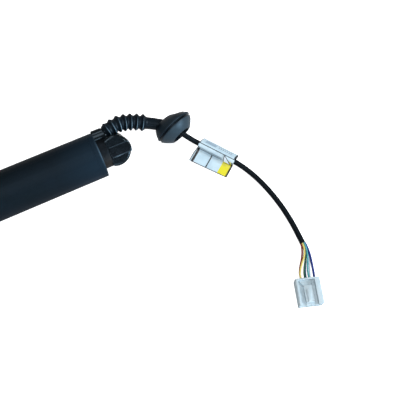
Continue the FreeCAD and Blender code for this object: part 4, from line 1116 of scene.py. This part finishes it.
flag = {
    "near": (-69.4, 20.9, -12.6),  # mm, where it starts on the cable
    "far": (-89.3, 48.0, -15.5),
    "thickness": 0.2,
    "film": (  # aside of the cable, up from its centre, slid along it
        (16.6, -3.15, -1.8), (8.0, -3.15, -1.8), (0.0, -3.12, -1.0), (-7.8, -3.1, 0), (-8.6, -2.85, 0),
        (-8.3, -2.3, 0), (-6.0, -0.2, 0), (-3.4, 2.0, 0), (-2.2, 2.95, 0), (0.0, 3.15, 0), (1.8, 2.8, 0),
        (3.0, 1.5, 0), (3.6, -0.4, 0), (4.3, -1.8, 0), (5.4, -2.4, 0), (10.0, -2.7, 0), (16.8, -2.8, 0),
    ),
    "lip": ((-0.4, 3.4, 0), (0.4, 3.5, 0), (1.4, 3.46, 0), (2.4, 3.05, 0), (3.2, 2.4, 0), (3.9, 1.6, 0)),
    "taper": 0.08,  # the far end's share that it is shorter
    "taperFrom": 5.0,
    "curl": (  # left and right corner of each row: along, aside, up
        ((24.8, 4.9, 0.9), (32.2, 5.0, 0.7)), ((24.6, 3.4, 2.9), (29.4, 3.5, 2.7)),
        ((24.2, 1.9, 3.9), (26.4, 2.0, 3.8)), ((23.9, 0.8, 4.4), (24.3, 0.8, 4.4)),
    ),
    "curlInset": ((0.6, 0, 0.2), (-1.2, 0, 0.2)),  # from those corners to its inner face's
    "uvStart": (-5.0, -10.0),
    "uvSpan": (45.0, 30.0),
    "marks": (  # along from and to, aside from and to, colour
        (24.6, 33.4, 3.4, 16.3, tint(206, 198, 24)), (0.0, 2.0, 3.4, 16.9, tint(14, 17, 22)),
        (13.3, 14.3, 3.4, 16.9, tint(22, 28, 36)), (0.0, 34.0, 16.2, 16.9, tint(40, 48, 56)),
        (32.1, 34.0, 3.4, 16.9, tint(36, 36, 18)), (-2.0, 34.0, -0.1, 0.65, tint(24, 32, 42)),
        # the dark marks from along -2.0 and -0.1 are painted shade along the film's near edge
        (32.5, 34.0, -7.8, -0.2, tint(20, 24, 30)), (-2.0, -1.1, 0.5, 16.0, tint(36, 42, 50)),
        # the thin grey mark from along 2.0 to 23.0 is a painted shadow under the lip
        (-0.1, 0.6, -7.8, 0.0, tint(56, 64, 72)), (2.0, 23.0, 3.4, 3.8, tint(112, 128, 140)),
        (4.0, 14.0, -6.4, -2.4, tint(134, 158, 176)),
    ),
    "ticks": (16.5, 30.0, 1.9, 0.7),  # a plain row: along from and to, pitch, width
    "tickAside": (-6.2, -3.0),
    "tickInk": tint(112, 134, 152),
}
flagNear = Vector(flag["near"])
flagRun = Vector(flag["far"]) - flagNear
flagAside = Vector((flagRun.y, -flagRun.x, 0)).normalized()


def onFlag(along, aside, up):
    share = along / flagRun.length
    if aside > flag["taperFrom"]:
        aside *= 1 - flag["taper"] * share
    return flagNear + flagRun * share + flagAside * aside + Vector((0, 0, up))


def filmStrip(name, rows, thickness):
    clearSelection()
    last = len(rows) - 1
    bpy.ops.mesh.primitive_grid_add(x_subdivisions=1, y_subdivisions=last, size=2 * mm)
    piece = bpy.context.active_object
    piece.name = name
    spots = []
    for corner in piece.data.vertices:
        row = rows[round((corner.co.y / mm + 1) / 2 * last)]
        spots.append(row[0 if corner.co.x < 0 else 1])
        corner.co = onFlag(*spots[-1]) * mm
    layer = piece.data.uv_layers.active.data
    for loop in piece.data.loops:
        place = spots[loop.vertex_index][:2]
        layer[loop.index].uv = [(p - a) / b for p, a, b in zip(place, flag["uvStart"], flag["uvSpan"])]
    wall = piece.modifiers.new("film", "SOLIDIFY")
    wall.thickness = thickness * mm
    wall.offset = 0
    applyModifier(piece, wall)
    turnOver(piece)
    smooth(piece, 50)
    return piece


# Paints the marks onto the film's colour: the print and the painted shade and shadow.
def printedAndShaded(finish, marks):
    tree = finish.node_tree
    shader = tree.nodes["Principled BSDF"]
    colour = shader.inputs["Base Color"].links[0].from_socket
    where = tree.nodes.new("ShaderNodeUVMap")
    parts = tree.nodes.new("ShaderNodeSeparateXYZ")
    tree.links.new(where.outputs["UV"], parts.inputs["Vector"])
    for *limits, ink in marks:
        mask = None
        for axis, side, limit in ((0, "GREATER_THAN", 0), (0, "LESS_THAN", 1), (1, "GREATER_THAN", 2),
                                  (1, "LESS_THAN", 3)):
            test = tree.nodes.new("ShaderNodeMath")
            test.operation = side
            test.inputs[1].default_value = (limits[limit] - flag["uvStart"][axis]) / flag["uvSpan"][axis]
            tree.links.new(parts.outputs[axis], test.inputs[0])
            if mask:
                both = tree.nodes.new("ShaderNodeMath")
                both.operation = "MULTIPLY"
                tree.links.new(mask, both.inputs[0])
                tree.links.new(test.outputs[0], both.inputs[1])
                mask = both.outputs[0]
            else:
                mask = test.outputs[0]
        mix = tree.nodes.new("ShaderNodeMixRGB")
        mix.inputs["Color2"].default_value = ink
        tree.links.new(mask, mix.inputs["Fac"])
        tree.links.new(colour, mix.inputs["Color1"])
        colour = mix.outputs["Color"]
    tree.links.new(colour, shader.inputs["Base Color"])
    return finish


labelFilm = mottled("labelFilm", tint(164, 188, 202), tint(186, 206, 216), 90, (0.3, 0.42), 0.02, 900)
curlRim = mottled("curlRim", tint(26, 28, 26), tint(44, 46, 40), 300, (0.4, 0.5))
labelBack = mottled("labelBack", tint(196, 208, 218), tint(210, 220, 228), 200, (0.35, 0.45))
run = flagRun.length
sheets = []
for name in ("film", "lip"):
    rows = [((slide, aside, up), (run + slide, aside, up)) for aside, up, slide in flag[name]]
    sheets.append(filmStrip(name, rows, flag["thickness"]))
label = weld(sheets, "cableFlag")
begin, end, pitch, width = flag["ticks"]
places = [begin + pitch * i for i in range(round((end - begin) / pitch))]
ticks = [(at, at + width, *flag["tickAside"], flag["tickInk"]) for at in places]
printedAndShaded(labelFilm, list(flag["marks"]) + ticks)
finished(label, labelFilm, "strut_body", "label_sheet", "cable_label")
# A dark sheet behind the curled corner shows as a dark rim round it.
curlBack = filmStrip("curlBack", flag["curl"], flag["thickness"])
finished(curlBack, curlRim, "strut_body", "label_sheet", "cable_label")
inner = []
for row in flag["curl"][:3]:
    inner.append([Vector(corner) + Vector(inset) for corner, inset in zip(row, flag["curlInset"])])
curlFace = filmStrip("curlFace", inner, flag["thickness"])
finished(curlFace, labelBack, "strut_body", "label_sheet", "cable_label")
print("flag folded")

connectorPieces = [bpy.data.objects[name] for name in ("plugHousing", "latchArm")]
connectorPieces.append(nodes["connector_terminals"])
